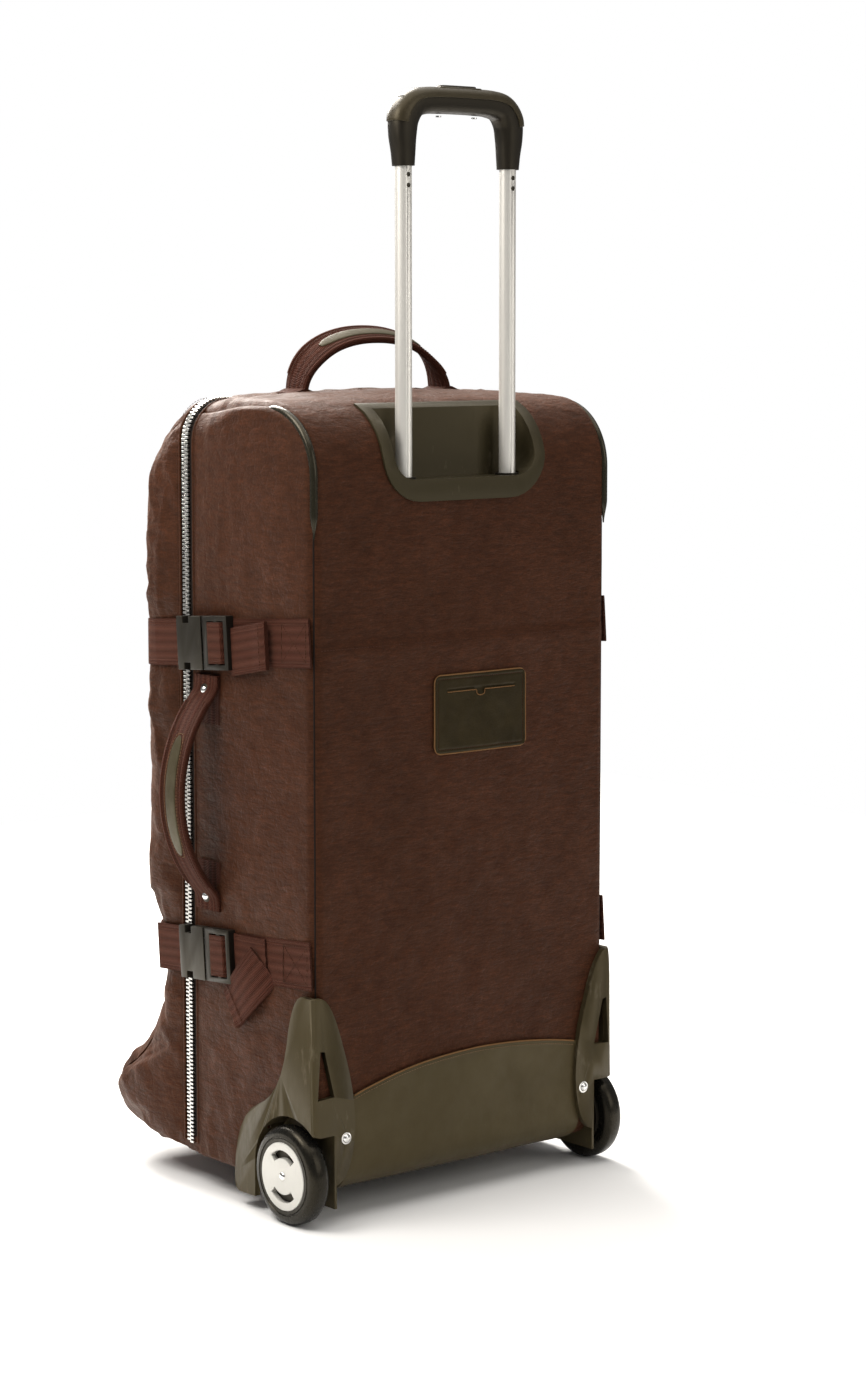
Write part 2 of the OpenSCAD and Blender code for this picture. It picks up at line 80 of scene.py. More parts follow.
class NodeBook:
    """Adds and links the shader nodes of one material."""

    def __init__(self, name: str) -> None:
        """Starts a material with a principled shader.

        Args:
            name: Name of the material.
        """
        self.material = bpy.data.materials.new(name)
        self.material.use_nodes = True
        self.nodes = self.material.node_tree.nodes
        self.links = self.material.node_tree.links
        self.shader = self.nodes["Principled BSDF"]

    def add(self, kind: str, **values: object) -> bpy.types.Node:
        """Adds a node and sets its properties or its input values.

        Args:
            kind: Type name of the node.
            **values: Properties of the node, or values of its inputs with spaces as underscores.

        Returns:
            The new node.
        """
        node = self.nodes.new(kind)
        for key, value in values.items():
            if hasattr(node, key):
                setattr(node, key, value)
            else:
                node.inputs[key.replace("_", " ")].default_value = value
        return node

    def link(self, out: bpy.types.NodeSocket, into: bpy.types.NodeSocket) -> None:
        """Joins an output to an input."""
        self.links.new(out, into)

    def set(self, **values: object) -> None:
        """Sets sockets of the shader by name, with spaces as underscores."""
        for key, value in values.items():
            self.shader.inputs[key.replace("_", " ")].default_value = value

    def place(self, use_uv: bool = False, scale: Sequence[float] = (1, 1, 1)) -> bpy.types.NodeSocket:
        """Coordinates for the patterns.

        Args:
            use_uv: Reads the piece's UV map in place of Object coordinates.
            scale: Scale of the pattern on each axis.

        Returns:
            The vector socket.
        """
        where = self.add("ShaderNodeTexCoord")
        mapping = self.add("ShaderNodeMapping", Scale=scale)
        self.link(where.outputs["UV" if use_uv else "Object"], mapping.inputs["Vector"])
        return mapping.outputs["Vector"]

    def noise(self, where: bpy.types.NodeSocket, scale: float, detail: float = 3.0) -> bpy.types.NodeSocket:
        """Grey value of a noise pattern at a scale.

        Args:
            where: Coordinates of the pattern.
            scale: Scale of the pattern.
            detail: Octaves of the noise.

        Returns:
            The output socket.
        """
        node = self.add("ShaderNodeTexNoise", Scale=scale, Detail=detail, Roughness=0.6)
        self.link(where, node.inputs["Vector"])
        return node.outputs["Fac"]

    def ramp(self, fac: bpy.types.NodeSocket, stops: Sequence[
            tuple[float, Sequence[float]]]) -> bpy.types.NodeSocket:
        """Colours a grey value.

        Args:
            fac: The grey value.
            stops: Pairs of a place from 0 to 1 and a colour.

        Returns:
            The colour socket.
        """
        node = self.add("ShaderNodeValToRGB")
        band = node.color_ramp
        while len(band.elements) < len(stops):
            band.elements.new(0.5)
        for element, (at, colour) in zip(band.elements, stops):
            element.position = at
            element.color = (*colour, 1.0) if len(colour) == 3 else colour
        self.link(fac, node.inputs["Fac"])
        return node.outputs["Color"]

    def mix(self, fac: bpy.types.NodeSocket, a: bpy.types.NodeSocket, b: bpy.types.NodeSocket,
            mode: str = "MIX") -> bpy.types.NodeSocket:
        """Mixes two colours by a factor socket.

        Args:
            fac: Share of the second input.
            a: First input.
            b: Second input.
            mode: How the two are mixed.

        Returns:
            The output socket.
        """
        node = self.add("ShaderNodeMix", data_type="RGBA", blend_type=mode)
        self.link(fac, node.inputs[0])
        self.link(a, node.inputs[6])
        self.link(b, node.inputs[7])
        return node.outputs[2]

    def math(self, operation: str, a: bpy.types.NodeSocket | float,
            b: bpy.types.NodeSocket | float) -> bpy.types.NodeSocket:
        """Result of a sum on two values or sockets.

        Args:
            operation: What is worked out.
            a: First input.
            b: Second input.

        Returns:
            The output socket.
        """
        node = self.add("ShaderNodeMath", operation=operation)
        for i, value in enumerate((a, b)):
            if isinstance(value, (int, float)):
                node.inputs[i].default_value = value
            else:
                self.link(value, node.inputs[i])
        return node.outputs[0]

    def bump(self, height: bpy.types.NodeSocket, strength: float, distance: float,
            under: bpy.types.NodeSocket | None = None) -> bpy.types.NodeSocket:
        """Bump from a height, on top of an earlier one.

        Args:
            height: Height of the relief.
            strength: Strength of the relief.
            distance: Depth of the relief, in metres.
            under: Relief that this one lies on.

        Returns:
            The output socket.
        """
        node = self.add("ShaderNodeBump", Strength=strength, Distance=distance)
        self.link(height, node.inputs["Height"])
        if under is not None:
            self.link(under, node.inputs["Normal"])
        return node.outputs["Normal"]

    def finish(self, colour: bpy.types.NodeSocket, normal: bpy.types.NodeSocket | None = None,
            rough: bpy.types.NodeSocket | None = None) -> bpy.types.Material:
        """Joins colour, bump and roughness to the shader and returns the material.

        Args:
            colour: Base colour.
            normal: Relief, if any.
            rough: Roughness, if it varies.

        Returns:
            The material.
        """
        self.link(colour, self.shader.inputs["Base Color"])
        if normal is not None:
            self.link(normal, self.shader.inputs["Normal"])
        if rough is not None:
            self.link(rough, self.shader.inputs["Roughness"])
        return self.material


@dataclass(frozen=True)
class CrinkledNylon:
    """Washed, crinkled nylon with a fine plain weave."""

    name: str = "crinkled_nylon"
    dark: tuple[float, float, float] = (0.027, 0.0085, 0.0035)
    main: tuple[float, float, float] = (0.036, 0.0118, 0.0052)
    worn: tuple[float, float, float] = (0.050, 0.0185, 0.0095)
    crinkle: float = 0.55

    def build(self) -> bpy.types.Material:
        """Makes the material."""
        book = NodeBook(self.name)
        where = book.place()
        clouds = book.noise(where, 9.0, 4.0)
        creases = book.add("ShaderNodeTexVoronoi", feature="DISTANCE_TO_EDGE", Scale=60.0)
        warp = book.noise(where, 28.0, 5.0)
        shifted = book.add("ShaderNodeVectorMath", operation="ADD")
        spread = book.add("ShaderNodeVectorMath", operation="SCALE", Scale=0.03)
        colour_noise = book.add("ShaderNodeTexNoise", Scale=30.0, Detail=4.0)
        book.link(where, colour_noise.inputs["Vector"])
        book.link(colour_noise.outputs["Color"], spread.inputs[0])
        book.link(where, shifted.inputs[0])
        book.link(spread.outputs["Vector"], shifted.inputs[1])
        book.link(shifted.outputs["Vector"], creases.inputs["Vector"])
        tint = book.ramp(clouds, [(0.30, self.dark), (0.52, self.main), (0.78, self.worn)])
        streak = book.ramp(warp, [(0.35, self.dark), (0.70, self.worn)])
        grain = book.noise(where, 420.0, 2.0)
        crinkles = book.noise(book.place(scale=(1.0, 1.0, 4.2)), 62.0, 6.0)
        threads = book.noise(book.place(scale=(1.0, 1.0, 7.0)), 210.0, 3.0)
        mixed = book.mix(book.math("MULTIPLY", warp, 0.55), tint, streak)
        speck = book.ramp(grain, [(0.3, (0.80, 0.80, 0.80)), (0.7, (1.15, 1.12, 1.10))])
        one = book.math("MULTIPLY", 1.0, 1.0)  # the whole share of each mix below
        colour = book.mix(one, mixed, speck, "MULTIPLY")
        # fold multiplies the colour by the crinkle noise that also makes the bump: painted shade in the
        # crease hollows and a painted highlight on the crests
        fold = book.ramp(crinkles, [(0.30, (0.66, 0.62, 0.60)), (0.52, (1.0, 1.0, 1.0)),
            (0.72, (1.42, 1.36, 1.30))])
        weave = book.ramp(threads, [(0.30, (0.74, 0.72, 0.70)), (0.70, (1.28, 1.25, 1.22))])
        colour = book.mix(one, book.mix(one, colour, fold, "MULTIPLY"), weave, "MULTIPLY")
        edge = book.math("MINIMUM", book.math("MULTIPLY", creases.outputs["Distance"], 9.0), 1.0)
        normal = book.bump(edge, self.crinkle * 0.22, 0.0016)
        normal = book.bump(warp, self.crinkle, 0.0045, normal)
        normal = book.bump(book.noise(where, 110.0, 4.0), self.crinkle * 0.5, 0.0012, normal)
        normal = book.bump(crinkles, 0.55, 0.0022, normal)
        normal = book.bump(threads, 0.35, 0.0006, normal)
        normal = book.bump(grain, 0.22, 0.0005, normal)
        rough = book.ramp(book.noise(where, 50.0), [(0.3, (0.52,) * 3), (0.7, (0.70,) * 3)])
        book.set(Sheen_Weight=0.10, Sheen_Roughness=0.35, Sheen_Tint=(0.85, 0.48, 0.33, 1.0),
            Specular_IOR_Level=0.18, Specular_Tint=(1.0, 0.66, 0.46, 1.0))
        return book.finish(colour, normal, rough)


@dataclass(frozen=True)
class HerringboneWebbing:
    """Heavy ribbed webbing with a herringbone weave along the piece's own UV map."""

    name: str = "webbing"
    rib: tuple[float, float, float] = (0.043, 0.0122, 0.0068)
    # gap is painted shade in the grooves between the ribs; light is a painted highlight on the rib crests
    gap: tuple[float, float, float] = (0.018, 0.0052, 0.003)
    light: tuple[float, float, float] = (0.085, 0.028, 0.018)
    across: float = 26.0
    along: float = 64.0

    def build(self) -> bpy.types.Material:
        """Makes the material."""
        book = NodeBook(self.name)
        where = book.place(use_uv=True)
        parts = book.add("ShaderNodeSeparateXYZ")
        book.link(where, parts.inputs[0])
        column = book.math("MULTIPLY", parts.outputs["Y"], self.across)
        zig = book.math("PINGPONG", column, 1.0)
        run = book.math("ADD", book.math("MULTIPLY", parts.outputs["X"], self.along), zig)
        rows = book.math("PINGPONG", run, 0.5)
        cords = book.math("PINGPONG", column, 0.5)
        height = book.math("ADD", book.math("MULTIPLY", rows, 1.4), cords)
        fuzz = book.noise(book.place(), 900.0, 2.0)
        tone = book.math("ADD", book.math("MULTIPLY", height, 0.75), book.math("MULTIPLY", fuzz, 0.35))
        # The colour follows the rib height of the bump: painted shade in the grooves and a painted highlight
        # on the crests
        colour = book.ramp(tone, [(0.22, self.gap), (0.60, self.rib), (0.95, self.light)])
        normal = book.bump(height, 0.9, 0.0014)
        normal = book.bump(fuzz, 0.3, 0.0004, normal)
        book.set(Roughness=0.75, Sheen_Weight=0.08, Sheen_Roughness=0.4, Sheen_Tint=(0.9, 0.45, 0.32, 1.0),
                 Specular_IOR_Level=0.12, Specular_Tint=(1.0, 0.6, 0.45, 1.0))
        return book.finish(colour, normal)


@dataclass(frozen=True)
class Moulding:
    """Moulded plastic with a fine grain and rubbed patches."""

    name: str
    main: tuple[float, float, float]
    rubbed: tuple[float, float, float]
    rough: tuple[float, float] = (0.38, 0.55)
    grain: float = 0.12
    coat: float = 0.0
    specular: float = 0.30
    shine: tuple[float, float, float, float] = (1.0, 0.86, 0.60, 1.0)

    def build(self) -> bpy.types.Material:
        """Makes the material."""
        book = NodeBook(self.name)
        where = book.place()
        blotch = book.noise(where, 22.0, 5.0)
        scuff = book.noise(book.place(scale=(1.0, 1.0, 0.25)), 240.0, 3.0)
        wear = book.math("MULTIPLY", blotch, scuff)
        colour = book.ramp(wear, [(0.20, self.main), (0.33, self.main), (0.52, self.rubbed)])
        pores = book.noise(where, 900.0, 1.0)
        normal = book.bump(pores, self.grain, 0.0004)
        normal = book.bump(blotch, 0.06, 0.002, normal)
        rough = book.ramp(scuff, [(0.3, (self.rough[0],) * 3), (0.7, (self.rough[1],) * 3)])
        book.set(Coat_Weight=self.coat, Coat_Roughness=0.25, Specular_IOR_Level=self.specular,
            Specular_Tint=self.shine)
        return book.finish(colour, normal, rough)


@dataclass(frozen=True)
class CoatedCloth:
    """Rubber-coated cloth with a faint canvas grain."""

    name: str = "coated_cloth"
    main: tuple[float, float, float] = (0.042, 0.031, 0.0135)
    light: tuple[float, float, float] = (0.062, 0.048, 0.024)

    def build(self) -> bpy.types.Material:
        """Makes the material."""
        book = NodeBook(self.name)
        where = book.place()
        clouds = book.noise(where, 14.0, 5.0)
        colour = book.ramp(clouds, [(0.32, self.main), (0.75, self.light)])
        threads = book.add("ShaderNodeTexChecker", Scale=900.0)
        book.link(where, threads.inputs["Vector"])
        normal = book.bump(threads.outputs["Fac"], 0.18, 0.0003)
        normal = book.bump(book.noise(where, 70.0, 4.0), 0.35, 0.0016, normal)
        rough = book.ramp(book.noise(where, 60.0), [(0.3, (0.42,) * 3), (0.7, (0.58,) * 3)])
        book.set(Specular_IOR_Level=0.2, Specular_Tint=(1.0, 0.86, 0.55, 1.0))
        return book.finish(colour, normal, rough)


@dataclass(frozen=True)
class Metal:
    """Bare or plated metal, brushed along one axis."""

    name: str
    main: tuple[float, float, float]
    rough: tuple[float, float] = (0.22, 0.36)
    stretch: tuple[float, float, float] = (1.0, 1.0, 0.02)
    metallic: float = 1.0

    def build(self) -> bpy.types.Material:
        """Makes the material."""
        book = NodeBook(self.name)
        lines = book.noise(book.place(scale=self.stretch), 700.0, 2.0)
        shade = tuple(0.95 * c for c in self.main)
        colour = book.ramp(lines, [(0.3, shade), (0.7, self.main)])
        rough = book.ramp(lines, [(0.3, (self.rough[0],) * 3), (0.7, (self.rough[1],) * 3)])
        book.set(Metallic=self.metallic)
        return book.finish(colour, book.bump(lines, 0.05, 0.0002), rough)


@dataclass(frozen=True)
class Leather:
    """Smooth oiled leather with a fine pebble."""

    name: str
    main: tuple[float, float, float]
    light: tuple[float, float, float]

    def build(self) -> bpy.types.Material:
        """Makes the material."""
        book = NodeBook(self.name)
        where = book.place()
        clouds = book.noise(where, 34.0, 5.0)
        colour = book.ramp(clouds, [(0.32, self.main), (0.80, self.light)])
        pebble = book.add("ShaderNodeTexVoronoi", feature="SMOOTH_F1", Scale=520.0)
        book.link(where, pebble.inputs["Vector"])
        normal = book.bump(pebble.outputs["Distance"], 0.22, 0.0006)
        normal = book.bump(clouds, 0.18, 0.0012, normal)
        rough = book.ramp(book.noise(where, 120.0), [(0.3, (0.38,) * 3), (0.7, (0.55,) * 3)])
        book.set(Specular_IOR_Level=0.18, Specular_Tint=(1.0, 0.82, 0.50, 1.0))
        return book.finish(colour, normal, rough)


@dataclass(frozen=True)
class Yarn:
    """Twisted sewing thread or another plain small trim."""

    name: str
    main: tuple[float, float, float]

    def build(self) -> bpy.types.Material:
        """Makes the material."""
        book = NodeBook(self.name)
        twist = book.noise(book.place(), 1800.0, 2.0)
        dark = tuple(0.6 * c for c in self.main)
        colour = book.ramp(twist, [(0.3, dark), (0.7, self.main)])
        book.set(Roughness=0.7, Specular_IOR_Level=0.12)
        return book.finish(colour, book.bump(twist, 0.3, 0.0003))


OLIVE = (0.044, 0.034, 0.0165)
OLIVE_RUBBED = (0.105, 0.086, 0.058)
BLACK = (0.0085, 0.0075, 0.0065)


class Finishes:
    """Every finish of the case, each built once."""

    def __init__(self) -> None:
        """Builds the materials."""
        self.nylon = CrinkledNylon().build()
        self.webbing = HerringboneWebbing().build()
        self.olive = Moulding("olive_moulding", OLIVE, OLIVE_RUBBED, (0.38, 0.54)).build()
        self.olive_cup = Moulding("olive_cup", (0.025, 0.020, 0.0095), (0.078, 0.064, 0.041),
            (0.34, 0.50)).build()
        self.olive_grip = Moulding("olive_grip", (0.030, 0.024, 0.014), (0.056, 0.046, 0.029),
            (0.32, 0.44)).build()
        self.black = Moulding("black_moulding", BLACK, (0.022, 0.019, 0.016), (0.36, 0.5)).build()
        self.buckle = Moulding("buckle_moulding", (0.016, 0.0145, 0.012), (0.045, 0.041, 0.035),
            (0.32, 0.45)).build()
        self.board = Moulding("frame_board", (0.035, 0.034, 0.033), (0.06, 0.058, 0.055),
            (0.6, 0.75)).build()
        self.tyre = Moulding("tyre_rubber", (0.005, 0.0048, 0.0042), (0.012, 0.011, 0.010), (0.22, 0.34),
            0.04, 0.05, 0.24).build()
        self.piping = Moulding("piping_gloss", (0.011, 0.010, 0.006), (0.03, 0.029, 0.02), (0.20, 0.32),
            0.03, 0.15).build()
        self.coated = CoatedCloth().build()
        self.patch = Leather("patch_leather", (0.009, 0.0060, 0.0016), (0.020, 0.0140, 0.0050)).build()
        self.inset = Leather("inset_leather", (0.038, 0.031, 0.017), (0.085, 0.074, 0.048)).build()
        self.raw_edge = Yarn("raw_edge", (0.19, 0.095, 0.036)).build()
        self.tan_thread = Yarn("tan_thread", (0.20, 0.12, 0.062)).build()
        self.brown_thread = Yarn("brown_thread", (0.060, 0.024, 0.013)).build()
        self.tape = Yarn("zip_tape", (0.012, 0.008, 0.006)).build()
        self.lining = Yarn("lining_cloth", (0.26, 0.22, 0.17)).build()
        self.tube = Metal("anodised_tube", (0.74, 0.72, 0.67), (0.38, 0.46), (1.0, 1.0, 0.01), 0.6).build()
        self.steel = Metal("plated_steel", (0.72, 0.71, 0.69), (0.12, 0.26), (1.0, 1.0, 1.0)).build()
        self.zip_metal = Metal("zip_metal", (0.62, 0.61, 0.58), (0.22, 0.36), (1.0, 1.0, 1.0)).build()
        self.hub = Metal("hub_paint", (0.56, 0.55, 0.51), (0.34, 0.46), (1.0, 1.0, 1.0),
            metallic=0.25).build()


# ---------------------------------------------------------------- modelling helpers


def only(piece: bpy.types.Object) -> None:
    """Deselects everything else and makes a piece the active one.

    Args:
        piece: The piece.
    """
    bpy.ops.object.select_all(action="DESELECT")
    piece.select_set(True)
    bpy.context.view_layer.objects.active = piece


def editing(piece: bpy.types.Object, *steps: Callable[[], object]) -> None:
    """Runs edit-mode operators on a piece with all of it selected.

    Args:
        piece: The piece.
        *steps: Calls to run in edit mode, in order.
    """
    only(piece)
    bpy.ops.object.mode_set(mode="EDIT")
    bpy.ops.mesh.select_all(action="SELECT")
    for step in steps:
        step()
    bpy.ops.object.mode_set(mode="OBJECT")


def merge() -> None:
    """Merges the selected points that coincide."""
    bpy.ops.mesh.remove_doubles(threshold=1e-5)


def outwards() -> None:
    """Turns the selected faces outwards."""
    bpy.ops.mesh.normals_make_consistent(inside=False)


def modify(piece: bpy.types.Object, kind: str, **values: object) -> None:
    """Adds a modifier, sets it and applies it.

    Args:
        piece: The piece.
        kind: Type name of the modifier.
        **values: Its settings.
    """
    only(piece)
    modifier = piece.modifiers.new(kind.lower(), kind)
    for key, value in values.items():
        setattr(modifier, key, value)
    bpy.ops.object.modifier_apply(modifier=modifier.name)


def smooth(piece: bpy.types.Object, degrees: float = 35.0) -> None:
    """Shades a piece smooth, with edges over an angle left sharp."""
    only(piece)
    bpy.ops.object.shade_smooth_by_angle(angle=math.radians(degrees))


def dress(piece: bpy.types.Object, material: bpy.types.Material, body: str | None,
        stands_for: Iterable[str] = ()) -> bpy.types.Object:
    """Gives a piece its finish, its body and the nodes that it stands for.

    Args:
        piece: The finished piece.
        material: Its material.
        body: The body that it rides on, or None where it is blended.
        stands_for: CAD nodes that it replaces.

    Returns:
        The piece.
    """
    piece.data.materials.clear()
    piece.data.materials.append(material)
    if body is not None:
        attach(piece, body)
    nodes = list(stands_for)
    if nodes:
        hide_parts(*nodes)
    LOG.info("%s: %d faces", piece.name, len(piece.data.polygons))
    return piece


def sheet_mesh(name: str, cells_u: int, cells_v: int, place: Place, flip: bool = False,
        closed: bool = False) -> bpy.types.Object:
    """A grid primitive whose points are moved to a surface, and which keeps its UV map.

    Args:
        name: Name of the piece.
        cells_u: Cells along the first parameter.
        cells_v: Cells along the second parameter.
        place: Point in millimetres for two parameters from 0 to 1.
        flip: Turns the faces round.
        closed: Merges edges that meet.

    Returns:
        The piece.
    """
    bpy.ops.object.select_all(action="DESELECT")
    bpy.ops.mesh.primitive_grid_add(x_subdivisions=cells_u, y_subdivisions=cells_v, size=1.0)
    piece = bpy.context.active_object
    piece.name = piece.data.name = name
    for point in piece.data.vertices:
        point.co = place(point.co.x + 0.5, point.co.y + 0.5) * MM
    steps = [merge] if closed else []
    if flip:
        steps.append(bpy.ops.mesh.flip_normals)
    editing(piece, *steps)
    return piece


def block_mesh(name: str, low: Sequence[float], high: Sequence[float], bevel: float = 0.0,
        segments: int = 2) -> bpy.types.Object:
    """A block primitive between two corners with its edges rounded, in millimetres.

    Args:
        name: Name of the piece.
        low: Lowest corner, in millimetres.
        high: Highest corner, in millimetres.
        bevel: Width of the rounding.
        segments: Steps of the rounding.

    Returns:
        The piece.
    """
    bpy.ops.object.select_all(action="DESELECT")
    middle = (Vector(low) + Vector(high)) * 0.5 * MM
    bpy.ops.mesh.primitive_cube_add(size=1.0, location=middle)
    piece = bpy.context.active_object
    piece.name = piece.data.name = name
    piece.scale = (Vector(high) - Vector(low)) * MM
    bpy.ops.object.transform_apply(location=True, rotation=True, scale=True)
    if bevel:
        editing(piece, lambda: bpy.ops.mesh.bevel(offset=bevel * MM, segments=segments, affect="EDGES"))
    return piece


def lathe(name: str, outline: Sequence[tuple[float, float]], steps: int, axis: str, at: Sequence[float],
        mirrored: bool = False) -> bpy.types.Object:
    """Spins an outline of (radius, height) points round an axis.

    Args:
        name: Name of the piece.
        outline: Points in millimetres, from the axis out and back to it, or a closed ring.
        steps: Steps of the turn.
        axis: "X", "Y" or "Z".
        at: Point in millimetres that height 0 stands for.
        mirrored: Heights run the other way.

    Returns:
        The piece.
    """
    bpy.ops.object.select_all(action="DESELECT")
    bpy.ops.mesh.primitive_circle_add(vertices=len(outline), radius=0.01, fill_type="NOTHING")
    piece = bpy.context.active_object
    piece.name = piece.data.name = name
    for point, (radius, height) in zip(piece.data.vertices, outline):
        point.co = Vector((radius, 0.0, height)) * MM
    editing(piece, lambda: bpy.ops.mesh.spin(steps=steps, angle=math.tau, center=(0, 0, 0),
        axis=(0, 0, 1)), lambda: bpy.ops.mesh.select_all(action="SELECT"), merge, outwards)
    sign = -1.0 if mirrored else 1.0
    turn = {"X": Matrix.Rotation(math.radians(90 * sign), 4, "Y"),
        "Y": Matrix.Rotation(math.radians(-90 * sign), 4, "X"),
        "Z": Matrix.Rotation(0 if sign > 0 else math.pi, 4, "X")}[axis]
    piece.data.transform(Matrix.Translation(Vector(at) * MM) @ turn)
    return piece


def tube_along(name: str, points: Sequence[Vector], radii: Sequence[float],
        sides: int = 10) -> bpy.types.Object:
    """A closed tube of changing radius along points, in millimetres.

    Args:
        name: Name of the piece.
        points: Points of the run, in millimetres.
        radii: Radius at each point.
        sides: Sides of the tube.

    Returns:
        The piece.
    """
    count = len(points)
    tangents = [(points[min(i + 1, count - 1)] - points[max(i - 1, 0)]).normalized() for i in range(count)]
    up = Vector((1.0, 0.0, 0.0)) if abs(tangents[0].x) < 0.8 else Vector((0.0, 0.0, 1.0))
    frames = []
    for tangent in tangents:
        across = (up - tangent * up.dot(tangent)).normalized()
        frames.append((across, tangent.cross(across)))
        up = across

    def place(u: float, v: float) -> Vector:
        """Point on the tube."""
        i = round(v * (count - 1))
        angle = u * math.tau
        across, other = frames[i]
        return points[i] + (across * math.cos(angle) + other * math.sin(angle)) * radii[i]

    piece = sheet_mesh(name, sides, count - 1, place, closed=True)
    editing(piece, lambda: bpy.ops.mesh.select_all(action="DESELECT"),
        lambda: bpy.ops.mesh.select_non_manifold(), bpy.ops.mesh.edge_face_add,
        lambda: bpy.ops.mesh.select_all(action="SELECT"), outwards)
    return piece


def cad_copy(name: str, node: str, bevel: float, segments: int = 2,
        degrees: float = 40.0) -> bpy.types.Object:
    """A merged copy of a CAD node with its edges rounded.

    Args:
        name: Name of the piece.
        node: The CAD node that it starts from.
        bevel: Width of the rounding in millimetres.
        segments: Steps of the rounding.
        degrees: Edges sharper than this are rounded.

    Returns:
        The piece.
    """
    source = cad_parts[node]
    piece = bpy.data.objects.new(name, source.data.copy())
    piece.data.name = name
    bpy.context.scene.collection.objects.link(piece)
    if piece.data.uv_layers:
        piece.data.uv_layers.remove(piece.data.uv_layers[0])
    editing(piece, merge, lambda: bpy.ops.mesh.dissolve_limited(angle_limit=math.radians(0.5)))
    if bevel:
        modify(piece, "BEVEL", width=bevel * MM, segments=segments, limit_method="ANGLE",
            angle_limit=math.radians(degrees), use_clamp_overlap=True)
    smooth(piece, 40.0)
    return piece


def repeated(name: str, unit: bpy.types.Object, places: Sequence[Matrix]) -> bpy.types.Object:
    """One piece made of many copies of a unit mesh.

    Args:
        name: Name of the piece.
        unit: The unit, in millimetres about the origin; it is removed.
        places: Where each copy goes, in millimetres.

    Returns:
        The piece.
    """
    points = np.array([v.co for v in unit.data.vertices], float)
    faces = [list(p.vertices) for p in unit.data.polygons]
    all_points, all_faces = [], []
    for i, place in enumerate(places):
        m = np.array(place, float)
        all_points.append(points @ m[:3, :3].T + m[:3, 3])
        all_faces.extend([[k + i * len(points) for k in f] for f in faces])
    mesh = bpy.data.meshes.new(name)
    mesh.from_pydata((np.concatenate(all_points) * MM).tolist(), [], all_faces)
    piece = bpy.data.objects.new(name, mesh)
    bpy.context.scene.collection.objects.link(piece)
    bpy.data.objects.remove(unit)
    return piece


def unit_block(size: Sequence[float], bevel: float = 0.0) -> bpy.types.Object:
    """A small block about the origin whose sizes in millimetres are its units.

    Args:
        size: Length, width and height.
        bevel: Width of the rounding.

    Returns:
        The piece.
    """
    bpy.ops.object.select_all(action="DESELECT")
    bpy.ops.mesh.primitive_cube_add(size=1.0)
    unit = bpy.context.active_object
    unit.scale = size
    bpy.ops.object.transform_apply(location=True, rotation=True, scale=True)
    if bevel:
        editing(unit, lambda: bpy.ops.mesh.bevel(offset=bevel, segments=1, affect="EDGES"))
    return unit


def basis(at: Vector, along: Vector, out: Vector) -> Matrix:
    """Placement whose X runs along and whose Z points out.

    Args:
        at: Point, in millimetres.
        along: Direction of the run.
        out: Direction outwards.

    Returns:
        The placing matrix.
    """
    x = along.normalized()
    z = (out - x * out.dot(x)).normalized()
    y = z.cross(x)
    return Matrix(((x.x, y.x, z.x, at.x), (x.y, y.y, z.y, at.y), (x.z, y.z, z.z, at.z), (0, 0, 0, 1)))


def stitch_row(name: str, path: Sequence[Vector], out: Callable[[Vector], Vector], pitch: float = 3.6,
        length: float = 2.5, width: float = 0.75) -> bpy.types.Object:
    """A row of sewn stitches along points, in millimetres.

    Args:
        name: Name of the piece.
        path: Points that the row follows.
        out: Direction that points away from the cloth at a point.
        pitch: Distance from stitch to stitch.
        length: Length of a stitch.
        width: Width of the thread.

    Returns:
        The piece.
    """
    places, carry = [], 0.0
    for a, b in zip(path, path[1:]):
        reach = (b - a).length
        while carry < reach:
            at = a.lerp(b, carry / reach)
            places.append(basis(at, b - a, out(at)))
            carry += pitch
        carry -= reach
    return repeated(name, unit_block((length, width, width * 0.8), width * 0.28), places)


def swell(piece: bpy.types.Object, pinned: Callable[[Vector], bool], pressure: float, cap: float,
        grow: float = 0.0, gravity: float = 0.0, frames: int = 20) -> None:
    """Lets air and slack work on a cloth panel that is held along its seams.

    Args:
        piece: The panel.
        pinned: Whether a point in millimetres is held.
        pressure: Pressure on the inner side.
        cap: Most that a point may move, in millimetres.
        grow: Share by which the cloth is cut larger than its frame.
        gravity: Share of gravity that acts.
        frames: Steps of the simulation.
    """
    group = piece.vertex_groups.new(name="seams")
    group.add([v.index for v in piece.data.vertices if pinned(v.co / MM)], 1.0, "REPLACE")
    before = np.array([v.co for v in piece.data.vertices], float)
    modifier = piece.modifiers.new("swell", "CLOTH")
    cloth = modifier.settings
    cloth.vertex_group_mass = "seams"
    cloth.quality = 6
    cloth.mass = 0.25
    cloth.tension_stiffness = cloth.compression_stiffness = 12.0
    cloth.shear_stiffness = 4.0
    cloth.bending_stiffness = 0.4
    cloth.shrink_min = -grow
    cloth.use_pressure = True
    cloth.uniform_pressure_force = pressure
    cloth.effector_weights.gravity = gravity
    modifier.point_cache.frame_start, modifier.point_cache.frame_end = 1, frames
    scene = bpy.context.scene
    for i in range(1, frames + 1):
        scene.frame_set(i)
    shown = piece.evaluated_get(bpy.context.evaluated_depsgraph_get())
    after = np.array([v.co for v in shown.data.vertices], float)
    piece.modifiers.remove(modifier)
    move = after - before
    far = np.linalg.norm(move, axis=1, keepdims=True)
    move *= np.minimum(1.0, cap * MM / np.maximum(far, 1e-9))
    piece.data.vertices.foreach_set("co", (before + move).astype(np.float32).ravel())
    piece.data.update()
    piece.vertex_groups.clear()
    scene.frame_set(1)
    LOG.info("%s swelled by up to %.1f mm", piece.name, float(np.linalg.norm(move, axis=1).max()) / MM)


def crumple(at: Vector, size: float, seed: float) -> float:
    """Soft random height from -1 to 1 for creases of a size in millimetres."""
    spot = at / size + Vector((seed, seed * 1.7, seed * 0.3))
    return noise.fractal(spot, 0.9, 2.1, 3, noise_basis="PERLIN_ORIGINAL")


